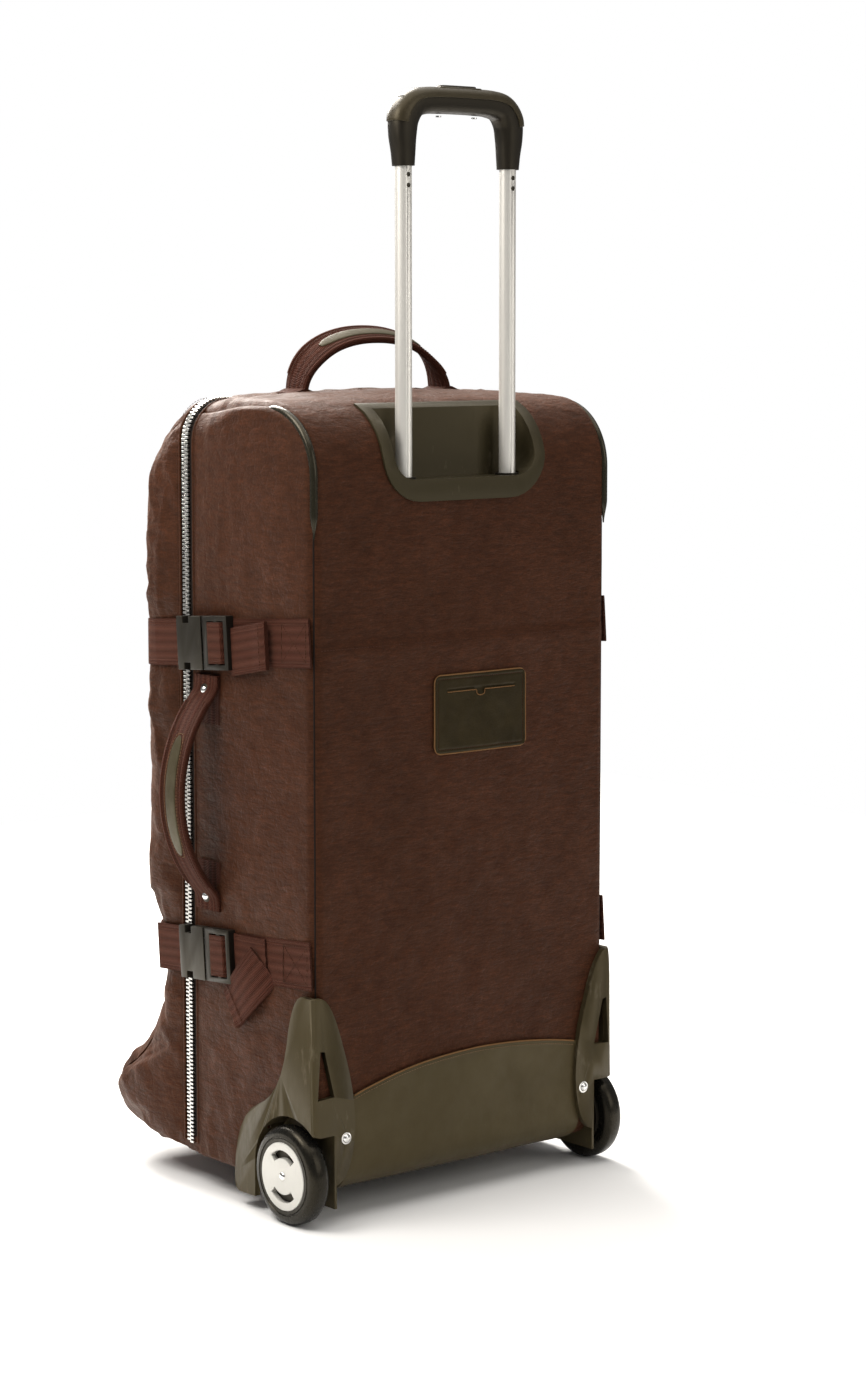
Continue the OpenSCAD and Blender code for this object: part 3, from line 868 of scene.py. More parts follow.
def ridge(at: Vector, size: float, seed: float) -> float:
    """Sharp-crested random height from 0 to 1, for folds of a size in millimetres."""
    spot = at / size + Vector((seed, -seed, seed * 0.6))
    return max(0.0, 1.0 - abs(noise.noise(spot)) * 3.2)


def ease(x: float) -> float:
    """Smooth step from 0 to 1."""
    x = min(1.0, max(0.0, x))
    return x * x * (3.0 - 2.0 * x)


def dent(x: float, at: float, width: float) -> float:
    """Bell of height 1 about a place."""
    return math.exp(-((x - at) / width) ** 2)


# ---------------------------------------------------------------- the soft case


@dataclass(frozen=True)
class CaseSize:
    """Places that the soft panels share, in millimetres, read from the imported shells."""

    half: float
    back: float
    base: float
    top: float
    zip_y: float
    lid_half: float
    low_round: float = 25.0
    high_round: float = 66.0
    zip_round: float = 40.0
    seam_round: float = 7.0
    waist: float = 553.0
    straps: tuple[float, float] = (544.0, 240.0)
    fall: float = math.tan(math.radians(4.3))

    @classmethod
    def read(cls) -> "CaseSize":
        """Reads the sizes from the frame."""
        low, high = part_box("rear_shell")
        zip_low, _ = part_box("lid_zip")
        _, lid_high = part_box("lid_shell")
        return cls(high.x / MM, low.y / MM, low.z / MM, high.z / MM, zip_low.y / MM, lid_high.x / MM)

    def strap_z(self, which: int, y: float) -> float:
        """Height of the middle of a strap at a depth."""
        return self.straps[which] - y * self.fall


class Outline:
    """A (y, z) outline that can be asked for a point and its outward normal by its share of length."""

    def __init__(self, points: Sequence[Vector]) -> None:
        """Measures the outline.

        Args:
            points: Closely spaced points as (y, z), run from under the case over its far side.
        """
        self.points = points
        self.reach = [0.0]
        self.climb = [0.0]
        for a, b in zip(points, points[1:]):
            self.reach.append(self.reach[-1] + (b - a).length)
            self.climb.append(self.climb[-1] + abs(b.y - a.y) + 0.35 * abs(b.x - a.x))

    def _find(self, share: float) -> tuple[int, float]:
        """Segment and place on it for a share of the length.

        Args:
            share: Place on the length, from 0 to 1.

        Returns:
            The stretch and the share of it.
        """
        want = min(max(share, 0.0), 1.0) * self.reach[-1]
        i = min(max(int(np.searchsorted(self.reach, want)) - 1, 0), len(self.points) - 2)
        return i, (want - self.reach[i]) / max(self.reach[i + 1] - self.reach[i], 1e-9)

    def at(self, share: float) -> Vector:
        """Point at a share of the length."""
        i, t = self._find(share)
        return self.points[i].lerp(self.points[i + 1], t)

    def climb_at(self, share: float) -> float:
        """Share of the climb done at a share of the length."""
        i, t = self._find(share)
        return (self.climb[i] + (self.climb[i + 1] - self.climb[i]) * t) / self.climb[-1]

    def normal(self, share: float, side: float) -> Vector:
        """Outward direction at a share of the length; side is +1 where outwards is to the right of the run.

        Args:
            share: Place on the length, from 0 to 1.
            side: 1 where outwards is to the right of the run.

        Returns:
            The direction.
        """
        step = 4.0 / self.reach[-1]
        run = self.at(share + step) - self.at(share - step)
        return Vector((run.y, -run.x)).normalized() * side


def arc_points(centre: Vector, radius: float, start: float, end: float, count: int = 16) -> list[Vector]:
    """Points of an arc in degrees."""
    angles = [math.radians(start + (end - start) * i / count) for i in range(count + 1)]
    return [centre + Vector((math.cos(a), math.sin(a))) * radius for a in angles]


def soft_curve(points: Sequence[Vector], steps: int = 8) -> list[Vector]:
    """Smooth curve through points.

    Args:
        points: Points of the run, in millimetres.
        steps: Steps between two points.

    Returns:
        The points.
    """
    out = []
    for i in range(len(points) - 1):
        p0, p1, p2 = points[max(i - 1, 0)], points[i], points[i + 1]
        p3 = points[min(i + 2, len(points) - 1)]
        for k in range(steps):
            t = k / steps
            out.append(0.5 * ((2 * p1) + (p2 - p0) * t + (2 * p0 - 5 * p1 + 4 * p2 - p3) * t * t
                + (3 * p1 - p0 - 3 * p2 + p3) * t ** 3))
    out.append(points[-1])
    return out


@dataclass
class SoftShell:
    """A sewn half of the case: one wrapping panel and two side panels that meet at round seams."""

    size: CaseSize
    outline: Outline
    turn: float
    half: float
    edge_y: float
    corner: Callable[[float, float], float]
    relief: Callable[[Vector, str], float]
    prefix: str
    body: str
    cell: float = 5.0
    pinch: float = 2.0
    seam_share: float = 1.0 - math.cos(math.radians(45.0))

    def wrap(self) -> bpy.types.Object:
        """Panel that runs under the case, up its far side and over the top."""
        def place(u: float, v: float) -> Vector:
            """Point of the panel."""
            spot, out = self.outline.at(v), self.outline.normal(v, self.turn)
            radius = self.corner(spot.x, spot.y)
            flat = self.half - radius
            quarter = radius * math.radians(45.0)
            across = (u * 2.0 - 1.0) * (flat + quarter)
            sign, beyond = math.copysign(1.0, across), max(0.0, abs(across) - flat)
            angle = beyond / radius
            x = sign * (min(abs(across), flat) + radius * math.sin(angle))
            drop = radius * (1.0 - math.cos(angle))
            base = Vector((x, spot.x - out.x * drop, spot.y - out.y * drop))
            lean = Vector((sign * math.sin(angle), out.x * math.cos(angle), out.y * math.cos(angle)))
            edge = min(1.0, (flat + quarter - abs(across)) / 14.0)
            ends = ease(min(v, 1.0 - v) * self.outline.reach[-1] / 22.0)
            pinch = self.pinch * (1.0 - ease(edge * 14.0 / 5.0))
            return base + lean * (self.relief(base, "wrap") * ease(edge) * ends - pinch)

        cells_v = round(self.outline.reach[-1] / self.cell)
        return sheet_mesh(f"{self.prefix}_wrap", round(2 * self.half / self.cell), cells_v, place,
            flip=self.turn > 0)

    def side(self, side: Side) -> bpy.types.Object:
        """Side panel from the round seam to the zip.

        Args:
            side: Side of the case.

        Returns:
            The piece.
        """
        low, high = self.outline.at(0.0).y, self.outline.at(1.0).y
        inner_low = self.corner(self.edge_y, low) * self.seam_share
        inner_high = self.corner(self.edge_y, high) * self.seam_share
        deepest = max(abs(p.x - self.edge_y) for p in self.outline.points)

        def place(u: float, v: float) -> Vector:
            """Point of the panel."""
            spot, out = self.outline.at(v), self.outline.normal(v, self.turn)
            start = spot - out * self.corner(spot.x, spot.y) * self.seam_share
            height = low + inner_low + (high - inner_high - low - inner_low) * self.outline.climb_at(v)
            at = start.lerp(Vector((self.edge_y, height)), u)
            radius = self.corner(at.x, at.y)
            depth = max((spot - at).dot(out), radius * self.seam_share)
            roll = radius - math.sqrt(max(radius ** 2 - (radius - depth) ** 2,
                0.0)) if depth < radius else 0.0
            base = Vector((side.value * (self.half - roll), at.x, at.y))
            edge = ease((at - start).length / 14.0) * ease((1.0 - u)
                * (start - Vector((self.edge_y, height))).length / 14.0)
            base.x += side.value * self.relief(base, "side") * edge
            pinch = self.pinch * (1.0 - ease((at - start).length / 5.0)) * math.sqrt(0.5)
            return base - Vector((side.value, out.x, out.y)) * pinch

        flip = (side is Side.LEFT) != (self.turn > 0)
        return sheet_mesh(f"{self.prefix}_side_{side.letter}", round(deepest / self.cell),
            round(self.outline.reach[-1] / self.cell), place, flip=flip, closed=True)

    def lining(self, panels: Sequence[bpy.types.Object], finishes: Finishes, depth: float = 3.4) -> None:
        """Lines the inside of the panels with cloth of its own."""
        for i, panel in enumerate(panels):
            inner = bpy.data.objects.new(panel.name.replace(self.prefix, f"{self.prefix}_lining"),
                panel.data.copy())
            bpy.context.scene.collection.objects.link(inner)
            inner.data.name = inner.name
            normals = [v.normal.copy() for v in inner.data.vertices]
            for point, normal in zip(inner.data.vertices, normals):
                point.co -= normal * depth * MM
            editing(inner, bpy.ops.mesh.flip_normals)
            smooth(inner, 60.0)
            dress(inner, finishes.lining, self.body)


def drop_faces(piece: bpy.types.Object, test: Callable[[Vector], bool]) -> None:
    """Cuts the faces out of a piece whose middles pass a test in millimetres.

    Args:
        piece: The piece.
        test: Whether a point, in millimetres, is cut out.
    """
    only(piece)
    for edge in piece.data.edges:
        edge.select = False
    for point in piece.data.vertices:
        point.select = False
    for face in piece.data.polygons:
        face.select = test(face.center / MM)
    bpy.ops.object.mode_set(mode="EDIT")
    bpy.ops.mesh.select_mode(type="FACE")
    bpy.ops.mesh.delete(type="FACE")
    bpy.ops.mesh.select_mode(type="VERT")
    bpy.ops.object.mode_set(mode="OBJECT")


@dataclass
class RearShell:
    """Rear half of the case with its waist seam, cup opening and wheel wells."""

    size: CaseSize
    finishes: Finishes
    cloth_wall: float = 2.6
    air: float = 1.2
    swell_cap: float = 2.4
    crown_top: float = 8.0
    crown_back: float = 2.2
    crown_side: float = 3.2
    cup: tuple[float, float, float] = (94.0, 695.0, -119.0)
    well: float = 57.0
    wheel: tuple[float, float] = (-128.7, 47.5)

    def outline(self) -> Outline:
        """Side outline of the rear half."""
        s = self.size
        front = s.zip_y - MainZip.edge
        low = Vector((s.back + s.low_round, s.base + s.low_round))
        high = Vector((s.back + s.high_round, s.top - s.high_round))
        return Outline([Vector((front, s.base))] + arc_points(low, s.low_round, 270, 180)
            + arc_points(high, s.high_round, 180, 90) + [Vector((front, s.top))])

    def corner(self, y: float, z: float) -> float:
        """Radius of the seam between the wrap and the sides.

        Args:
            y: Place from back to front.
            z: Height.

        Returns:
            Millimetres.
        """
        s = self.size
        widen = ease((y + 70.0) / 100.0) * ease((z - 600.0) / 90.0)
        return s.seam_round + (s.zip_round - s.seam_round) * widen

    def relief(self, at: Vector, kind: str) -> float:
        """Crown, folds and puckers of the stretched cloth.

        Args:
            at: Point, in millimetres.
            kind: "wrap" or "side".

        Returns:
            Millimetres.
        """
        s = self.size
        soft = 0.8 * crumple(at, 75.0, 3.1) + 0.4 * crumple(Vector((at.x, at.y, at.z * 0.6)), 24.0, 8.3)
        if kind == "wrap":
            crown = self.crown_back * dent(at.x, 0.0, 120.0) * dent(at.z, 360.0, 260.0)
            if at.z > s.top - 20.0 and at.y > -118.0:
                rise = math.sin(math.pi * min(1.0, max(0.0, (at.y + 118.0) / (s.zip_y + 118.0))))
                crown = self.crown_top * rise * math.cos(at.x / s.half * 1.35)
                crown += 2.4 * dent(at.y, -4.0, 3.2) - 1.6 * dent(at.y, -12.0, 5.0)
                crown += 1.4 * ridge(Vector((at.x, at.y * 2.0, 0.0)), 46.0, 4.0) * rise
            waist = 1.9 * ease((s.waist + 1.5 - at.z) / 3.0) * dent(at.z, s.waist - 8.0,
                16.0) if at.y < -130 else 0.0
            waist -= 1.4 * dent(at.z, s.waist + 2.0, 2.5) if at.y < -130 else 0.0
            pull = 0.9 * ridge(Vector((at.x * 1.6, at.z * 0.35, 9.0)), 60.0, 2.0) * dent(at.z,
                s.waist - 25.0, 60.0)
            return crown + waist + soft + 0.5 * pull
        crown = self.crown_side * math.sin(math.pi * min(1.0,
            max(0.0, (at.y - s.back) / (s.zip_y - s.back))))
        crown *= 0.5 + 0.5 * ease((at.z - 60.0) / 120.0)
        tight = 0.0
        for which in (0, 1):
            gap = at.z - s.strap_z(which, at.y)
            tight += math.exp(-(gap / 30.0) ** 2)
            crown += 1.3 * ridge(Vector((at.y * 0.5 + gap * 0.6, gap * 0.9, 3.0)), 38.0, which + 1.0) \
                * math.exp(-((abs(gap) - 48.0) / 26.0) ** 2)
        drape = 1.5 * ridge(Vector((at.y * 1.5, at.z * 0.3, at.x)), 52.0, 6.0) * ease((at.z - 560.0) / 60.0)
        foot = 1.6 * ridge(Vector((at.y * 1.3, at.z * 0.45, 5.0)), 44.0, 7.0) * ease((200.0 - at.z) / 60.0)
        return crown * (1.0 - 0.8 * min(tight, 1.0)) + soft + drape + foot

    def _held_wrap(self, at: Vector) -> bool:
        """Whether the wrap is held: everywhere but on the free parts of the top."""
        free = at.z > self.size.top - 12.0 and -108.0 < at.y < self.size.zip_y - 14.0
        return not free or abs(at.x) > 150.0 or abs(at.y + 13.0) < 22.0 and abs(at.x) < 116.0

    def _held_side(self, at: Vector) -> bool:
        """Whether a side panel is held: at its seams, under the straps and under the carry handle.

        Args:
            at: Point, in millimetres.

        Returns:
            The answer.
        """
        s = self.size
        seam = at.y > s.zip_y - 14.0 or at.y < s.back + 16.0 or at.z < 180.0 or at.z > s.top - 24.0
        strapped = any(abs(at.z - s.strap_z(k, at.y)) < 26.0 for k in (0, 1))
        return seam or strapped or at.x < 0 and abs(at.y - 3.0) < 26.0 and abs(at.z - 398.0) < 130.0

    def _in_well(self, at: Vector) -> bool:
        """Whether a point lies in a wheel well.

        Args:
            at: Point, in millimetres.

        Returns:
            The answer.
        """
        away = math.hypot(at.y - self.wheel[0], at.z - self.wheel[1])
        below = at.z < self.wheel[1] and abs(at.y - self.wheel[0]) < self.well
        return abs(at.x) > 164.0 and (away < self.well + 1.0 or below)

    def _in_cup(self, at: Vector) -> bool:
        """Whether a point lies in the opening of the handle cup.

        Args:
            at: Point, in millimetres.

        Returns:
            The answer.
        """
        half, low, front = self.cup
        inside = abs(at.x) < half and at.z > low and at.y < front
        corner_x, corner_z = abs(at.x) - (half - 27.0), (low + 27.0) - at.z
        return inside and not (corner_x > 0 and corner_z > 0 and math.hypot(corner_x, corner_z) > 27.0)

    def build(self) -> None:
        """Builds the shell, its lining and its topstitching."""
        f, s = self.finishes, self.size
        shell = SoftShell(s, self.outline(), -1.0, s.half, s.zip_y - MainZip.edge, self.corner,
            self.relief, "rear", "rear_body")
        panels = [shell.wrap(), shell.side(Side.LEFT), shell.side(Side.RIGHT)]
        for panel in panels:
            swell(panel, self._held_wrap if panel_is_wrap(panel) else self._held_side, self.air,
                self.swell_cap, frames=8)
            drop_faces(panel, lambda p: self._in_well(p) or self._in_cup(p))
        shell.lining(panels, f)
        for panel in panels:
            modify(panel, "SOLIDIFY", thickness=self.cloth_wall * MM, offset=-1.0)
            smooth(panel, 60.0)
            dress(panel, f.nylon, "rear_body", ["rear_shell"] if panel is panels[0] else [])
        self._topstitch()

    def _topstitch(self) -> None:
        """Topstitching under the waist seam."""
        z = self.size.waist - 4.5
        path = [Vector((x, self.size.back - 3.1, z)) for x in range(-176, 177, 8)]
        row = stitch_row("waist_topstitch", path, lambda at: Vector((0, -1, 0)), 3.4, 2.3, 0.6)
        dress(row, self.finishes.brown_thread, "rear_body")


def panel_is_wrap(panel: bpy.types.Object) -> bool:
    """Whether a panel is the wrapping one."""
    return panel.name.endswith("_wrap")


@dataclass
class Lid:
    """Front half of the case: a full, sagging shell with a belly at its foot."""

    size: CaseSize
    finishes: Finishes
    cloth_wall: float = 2.6
    air: float = 2.0
    swell_cap: float = 4.0
    lining_depth: float = 7.5
    corner_round: float = 44.0
    belly_round: float = 40.0
    shape: tuple[tuple[float, float], ...] = ((90, 33), (138, 39), (174, 46), (192, 58), (198, 75),
        (189, 94), (164, 111), (143, 128), (125, 153), (115, 180), (111, 214), (119, 248), (129, 270),
        (136, 304), (137, 450), (136, 620), (133, 684), (122, 722), (99, 750), (70, 769))

    def outline(self) -> Outline:
        """Side outline of the lid."""
        s = self.size
        edge = s.zip_y + MainZip.edge
        points = [Vector((edge, s.base))] + [Vector(p) for p in self.shape] + [Vector((edge, s.top + 1.0))]
        return Outline(soft_curve(points))

    def corner(self, y: float, z: float) -> float:
        """Radius of the round edge between the front and the sides.

        Args:
            y: Place from back to front.
            z: Height.

        Returns:
            Millimetres.
        """
        low = ease((z - self.size.base) / 40.0) * ease((y - self.size.zip_y) / 30.0)
        full = self.belly_round + (self.corner_round - self.belly_round) * ease((z - 130.0) / 80.0)
        return 14.0 + (full - 14.0) * max(low, ease((z - 600.0) / 60.0))

    def relief(self, at: Vector, kind: str) -> float:
        """Folds that hang from the zip and gather round the straps.

        Args:
            at: Point, in millimetres.
            kind: "wrap" or "side".

        Returns:
            Millimetres.
        """
        s = self.size
        soft = 1.5 * crumple(at, 62.0, 11.0) + 0.7 * crumple(at, 24.0, 5.0)
        hang = 2.8 * ridge(Vector((at.x, at.y * 1.7, at.z * 0.28)), 58.0, 1.0)
        pull, tight = 0.0, 0.0
        for which in (0, 1):
            gap = at.z - s.strap_z(which, at.y)
            tight += math.exp(-(gap / 26.0) ** 2)
            pull += 1.8 * ridge(Vector((at.x, at.y * 0.9 + gap * 0.7, gap * 0.8)), 44.0, 2.0 + which) \
                * math.exp(-((abs(gap) - 50.0) / 30.0) ** 2)
        crown = 3.0 if kind == "side" else 2.0
        crown *= ease((at.y - s.zip_y) / 40.0)
        belly = 3.0 * ridge(Vector((at.x, at.y - at.z * 0.7, at.z * 0.4)), 50.0,
            4.0) * ease((190.0 - at.z) / 60.0)
        strapped = min(tight, 1.0)
        free = (crown + hang * ease((at.z - 240.0) / 80.0)) * (1.0 - strapped)
        return free - 2.2 * strapped + pull + belly + soft

    def _held_wrap(self, at: Vector) -> bool:
        """Whether the wrap is held: near the zip, at the side seams and behind the pockets."""
        return at.y < self.size.zip_y + 14.0 or abs(at.x) > 170.0 or at.z > 185.0 and at.y > 104.0

    def _held_side(self, at: Vector) -> bool:
        """Whether a side panel is held: near the zip, under the straps and at the front seam.

        Args:
            at: Point, in millimetres.

        Returns:
            The answer.
        """
        s = self.size
        strapped = any(abs(at.z - s.strap_z(k, at.y)) < 22.0 for k in (0, 1))
        return at.y < s.zip_y + 14.0 or strapped or abs(at.x) < s.lid_half - 10.0

    def build(self) -> None:
        """Builds the shell and its lining."""
        f, s = self.finishes, self.size
        shell = SoftShell(s, self.outline(), 1.0, s.lid_half, s.zip_y + MainZip.edge, self.corner,
            self.relief, "lid", "lid", cell=5.5)
        panels = [shell.wrap(), shell.side(Side.LEFT), shell.side(Side.RIGHT)]
        for panel in panels:
            swell(panel, self._held_wrap if panel_is_wrap(panel) else self._held_side, self.air,
                self.swell_cap, grow=0.01, frames=12)
        shell.lining(panels, f, self.lining_depth)
        for panel in panels:
            modify(panel, "SOLIDIFY", thickness=self.cloth_wall * MM, offset=-1.0)
            smooth(panel, 70.0)
            dress(panel, f.nylon, "lid", ["lid_shell"] if panel is panels[0] else [])


@dataclass
class MainZip:
    """Chunky zip round both sides and the top, half on each shell."""

    size: CaseSize
    finishes: Finishes
    foot: float = 44.0
    pitch: float = 3.9
    tooth: tuple[float, float, float] = (2.3, 5.6, 2.6)
    edge: float = 9.0

    def route(self, inset: float = 0.0) -> list[Vector]:
        """Points of the zip in its plane, as (x, z), from the left foot over the top.

        Args:
            inset: How far inside the edge the run lies.

        Returns:
            The points.
        """
        s = self.size
        r, half, top = s.zip_round, s.half - inset, s.top - inset
        left = arc_points(Vector((-half + r, top - r)), r, 180, 90, 10)
        right = arc_points(Vector((half - r, top - r)), r, 90, 0, 10)
        return [Vector((-half, self.foot))] + left + right + [Vector((half, self.foot))]

    def _stations(self, pitch: float, inset: float) -> list[tuple[Vector, Vector]]:
        """Evenly spaced places on the route with the direction of the run.

        Args:
            pitch: Spacing.
            inset: How far inside the edge the run lies.

        Returns:
            Places and directions.
        """
        line = Outline(self.route(inset))
        count = int(line.reach[-1] / pitch)
        step = 0.5 / count
        return [(line.at(i / count), (line.at(i / count + step) - line.at(i / count - step)).normalized())
            for i in range(count + 1)]

    def build(self) -> None:
        """Builds the tapes and the teeth."""
        f, zip_y = self.finishes, self.size.zip_y - 0.15
        for body, sign, node in (("rear_body", -1, "rear_zip"), ("lid", 1, "lid_zip")):
            line = Outline(self.route(0.8))

            def place(u: float, v: float, sign: int = sign, line: Outline = line) -> Vector:
                """Point of the tape."""
                at = line.at(v)
                run = line.at(v + 0.002) - line.at(v - 0.002)
                out = Vector((-run.y, run.x)).normalized()
                lift = 0.7 * math.cos((u - 0.5) * math.pi) - 1.2 * u
                at = at + out * lift
                return Vector((at.x, zip_y + sign * (0.4 + 11.0 * u), at.y))

            tape = sheet_mesh(f"zip_tape_{body}", 5, 260, place, flip=sign > 0)
            modify(tape, "SOLIDIFY", thickness=0.9 * MM, offset=-1.0)
            smooth(tape, 50.0)
            dress(tape, f.tape, body, [node])
            places = []
            for i, (at, run) in enumerate(self._stations(self.pitch, 0.0)):
                shift = self.pitch * 0.5 if sign > 0 else 0.0
                at = at + run * shift
                out = Vector((-run.y, run.x))
                spot = Vector((at.x + out.x * 1.1, zip_y + sign * 2.2, at.y + out.y * 1.1))
                places.append(basis(spot, Vector((run.x, 0, run.y)), Vector((out.x, 0, out.y))))
            teeth = repeated(f"zip_teeth_{body}", unit_block(self.tooth, 0.35), places)
            dress(teeth, f.zip_metal, body)
            self._edge_welt(body, sign)

    def _edge_welt(self, body: str, sign: int) -> None:
        """Folded cloth edge that runs beside the teeth.

        Args:
            body: Body that it rides on.
            sign: -1 behind the zip, 1 before it.
        """
        line = Outline(self.route(0.2))
        points = []
        for i in range(221):
            at = line.at(i / 220)
            points.append(Vector((at.x, self.size.zip_y + sign * (self.edge + 2.0), at.y)))
        radii = [1.5 + 0.2 * crumple(p, 18.0, 3.0) for p in points]
        welt = tube_along(f"zip_welt_{body}", points, radii, 8)
        smooth(welt, 80.0)
        dress(welt, self.finishes.nylon, body)
        row = [Vector((p.x * (1.0 + 1.6 / abs(p.x)) if abs(p.x) > 150 else p.x, p.y + sign * 3.2,
            p.z + (1.6 if p.z > self.size.top - 30 else 0.0))) for p in points]
        middle = Vector((0.0, 0.0, 400.0))
        stitches = stitch_row(f"zip_stitching_{body}", row, lambda at: Vector(
            (at.x - middle.x, 0, max(0.0, at.z - 700.0) * 3.0)), 3.6, 2.4, 0.6)
        dress(stitches, self.finishes.brown_thread, body)

    def hinge(self) -> None:
        """Cloth hinge under the case, left without a body of its own."""
        s = self.size
        r = 14.0
        path = [Vector((-s.half + 1.0, self.foot + 6.0))] \
            + arc_points(Vector((-s.half + 1.0 + r, s.base + r)), r, 180, 270, 8) \
            + arc_points(Vector((s.half - 1.0 - r, s.base + r)), r, 270, 360, 8) \
            + [Vector((s.half - 1.0, self.foot + 6.0))]
        line = Outline(path)

        def place(u: float, v: float) -> Vector:
            """Point of the hinge cloth."""
            at = line.at(v)
            return Vector((at.x, s.zip_y - 13.0 + 26.0 * u, at.y))

        hinge = sheet_mesh("hinge_cloth", 12, 110, place, flip=False)
        modify(hinge, "SOLIDIFY", thickness=1.4 * MM, offset=0.0)
        smooth(hinge, 60.0)
        dress(hinge, self.finishes.nylon, None)
        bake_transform(hinge)


# ---------------------------------------------------------------- straps, buckles and carry handles


@dataclass(frozen=True)
class Station:
    """One place on a strap: its middle, the direction across it and the direction out of its face."""

    at: Vector
    across: Vector
    out: Vector
    width: float
    thick: float


def webbing_strip(name: str, stations: Sequence[Station], around: int = 20,
        square: float = 0.22) -> bpy.types.Object:
    """A closed flat strip through stations, with a UV map in hundredths of its millimetres.

    Args:
        name: Name of the piece.
        stations: Places along the strip.
        around: Points of the cross-section.
        square: How square the edges are, where 1 is an ellipse.

    Returns:
        The piece.
    """
    last = len(stations) - 1
    along = [0.0]
    for a, b in zip(stations, stations[1:]):
        along.append(along[-1] + (b.at - a.at).length)

    def place(u: float, v: float) -> Vector:
        """Point of the strip."""
        station = stations[round(u * last)]
        angle = v * math.tau
        c, s = math.cos(angle), math.sin(angle)
        wide = math.copysign(abs(c) ** square, c) if abs(c) > 0.35 else c * (0.35 ** square / 0.35)
        high = math.copysign(abs(s) ** square, s)
        return station.at + station.across * wide * station.width / 2 + station.out * high * station.thick / 2

    piece = sheet_mesh(name, last, around, place, closed=True)
    layer = piece.data.uv_layers.active.data
    width = stations[0].width
    for entry in layer:
        share = entry.uv.x * last
        i = min(int(share), last - 1)
        length = along[i] + (along[i + 1] - along[i]) * (share - i)
        turn = entry.uv.y * math.tau
        across = width / 2 * (
            1.0 - math.cos(turn)) if entry.uv.y <= 0.5 else width * 1.5 - width / 2 * math.cos(turn)
        entry.uv = (length / 100.0, across / 100.0)
    editing(piece, lambda: bpy.ops.mesh.fill_holes(sides=0),
        lambda: bpy.ops.mesh.select_all(action="SELECT"), outwards)
    smooth(piece, 50.0)
    return piece


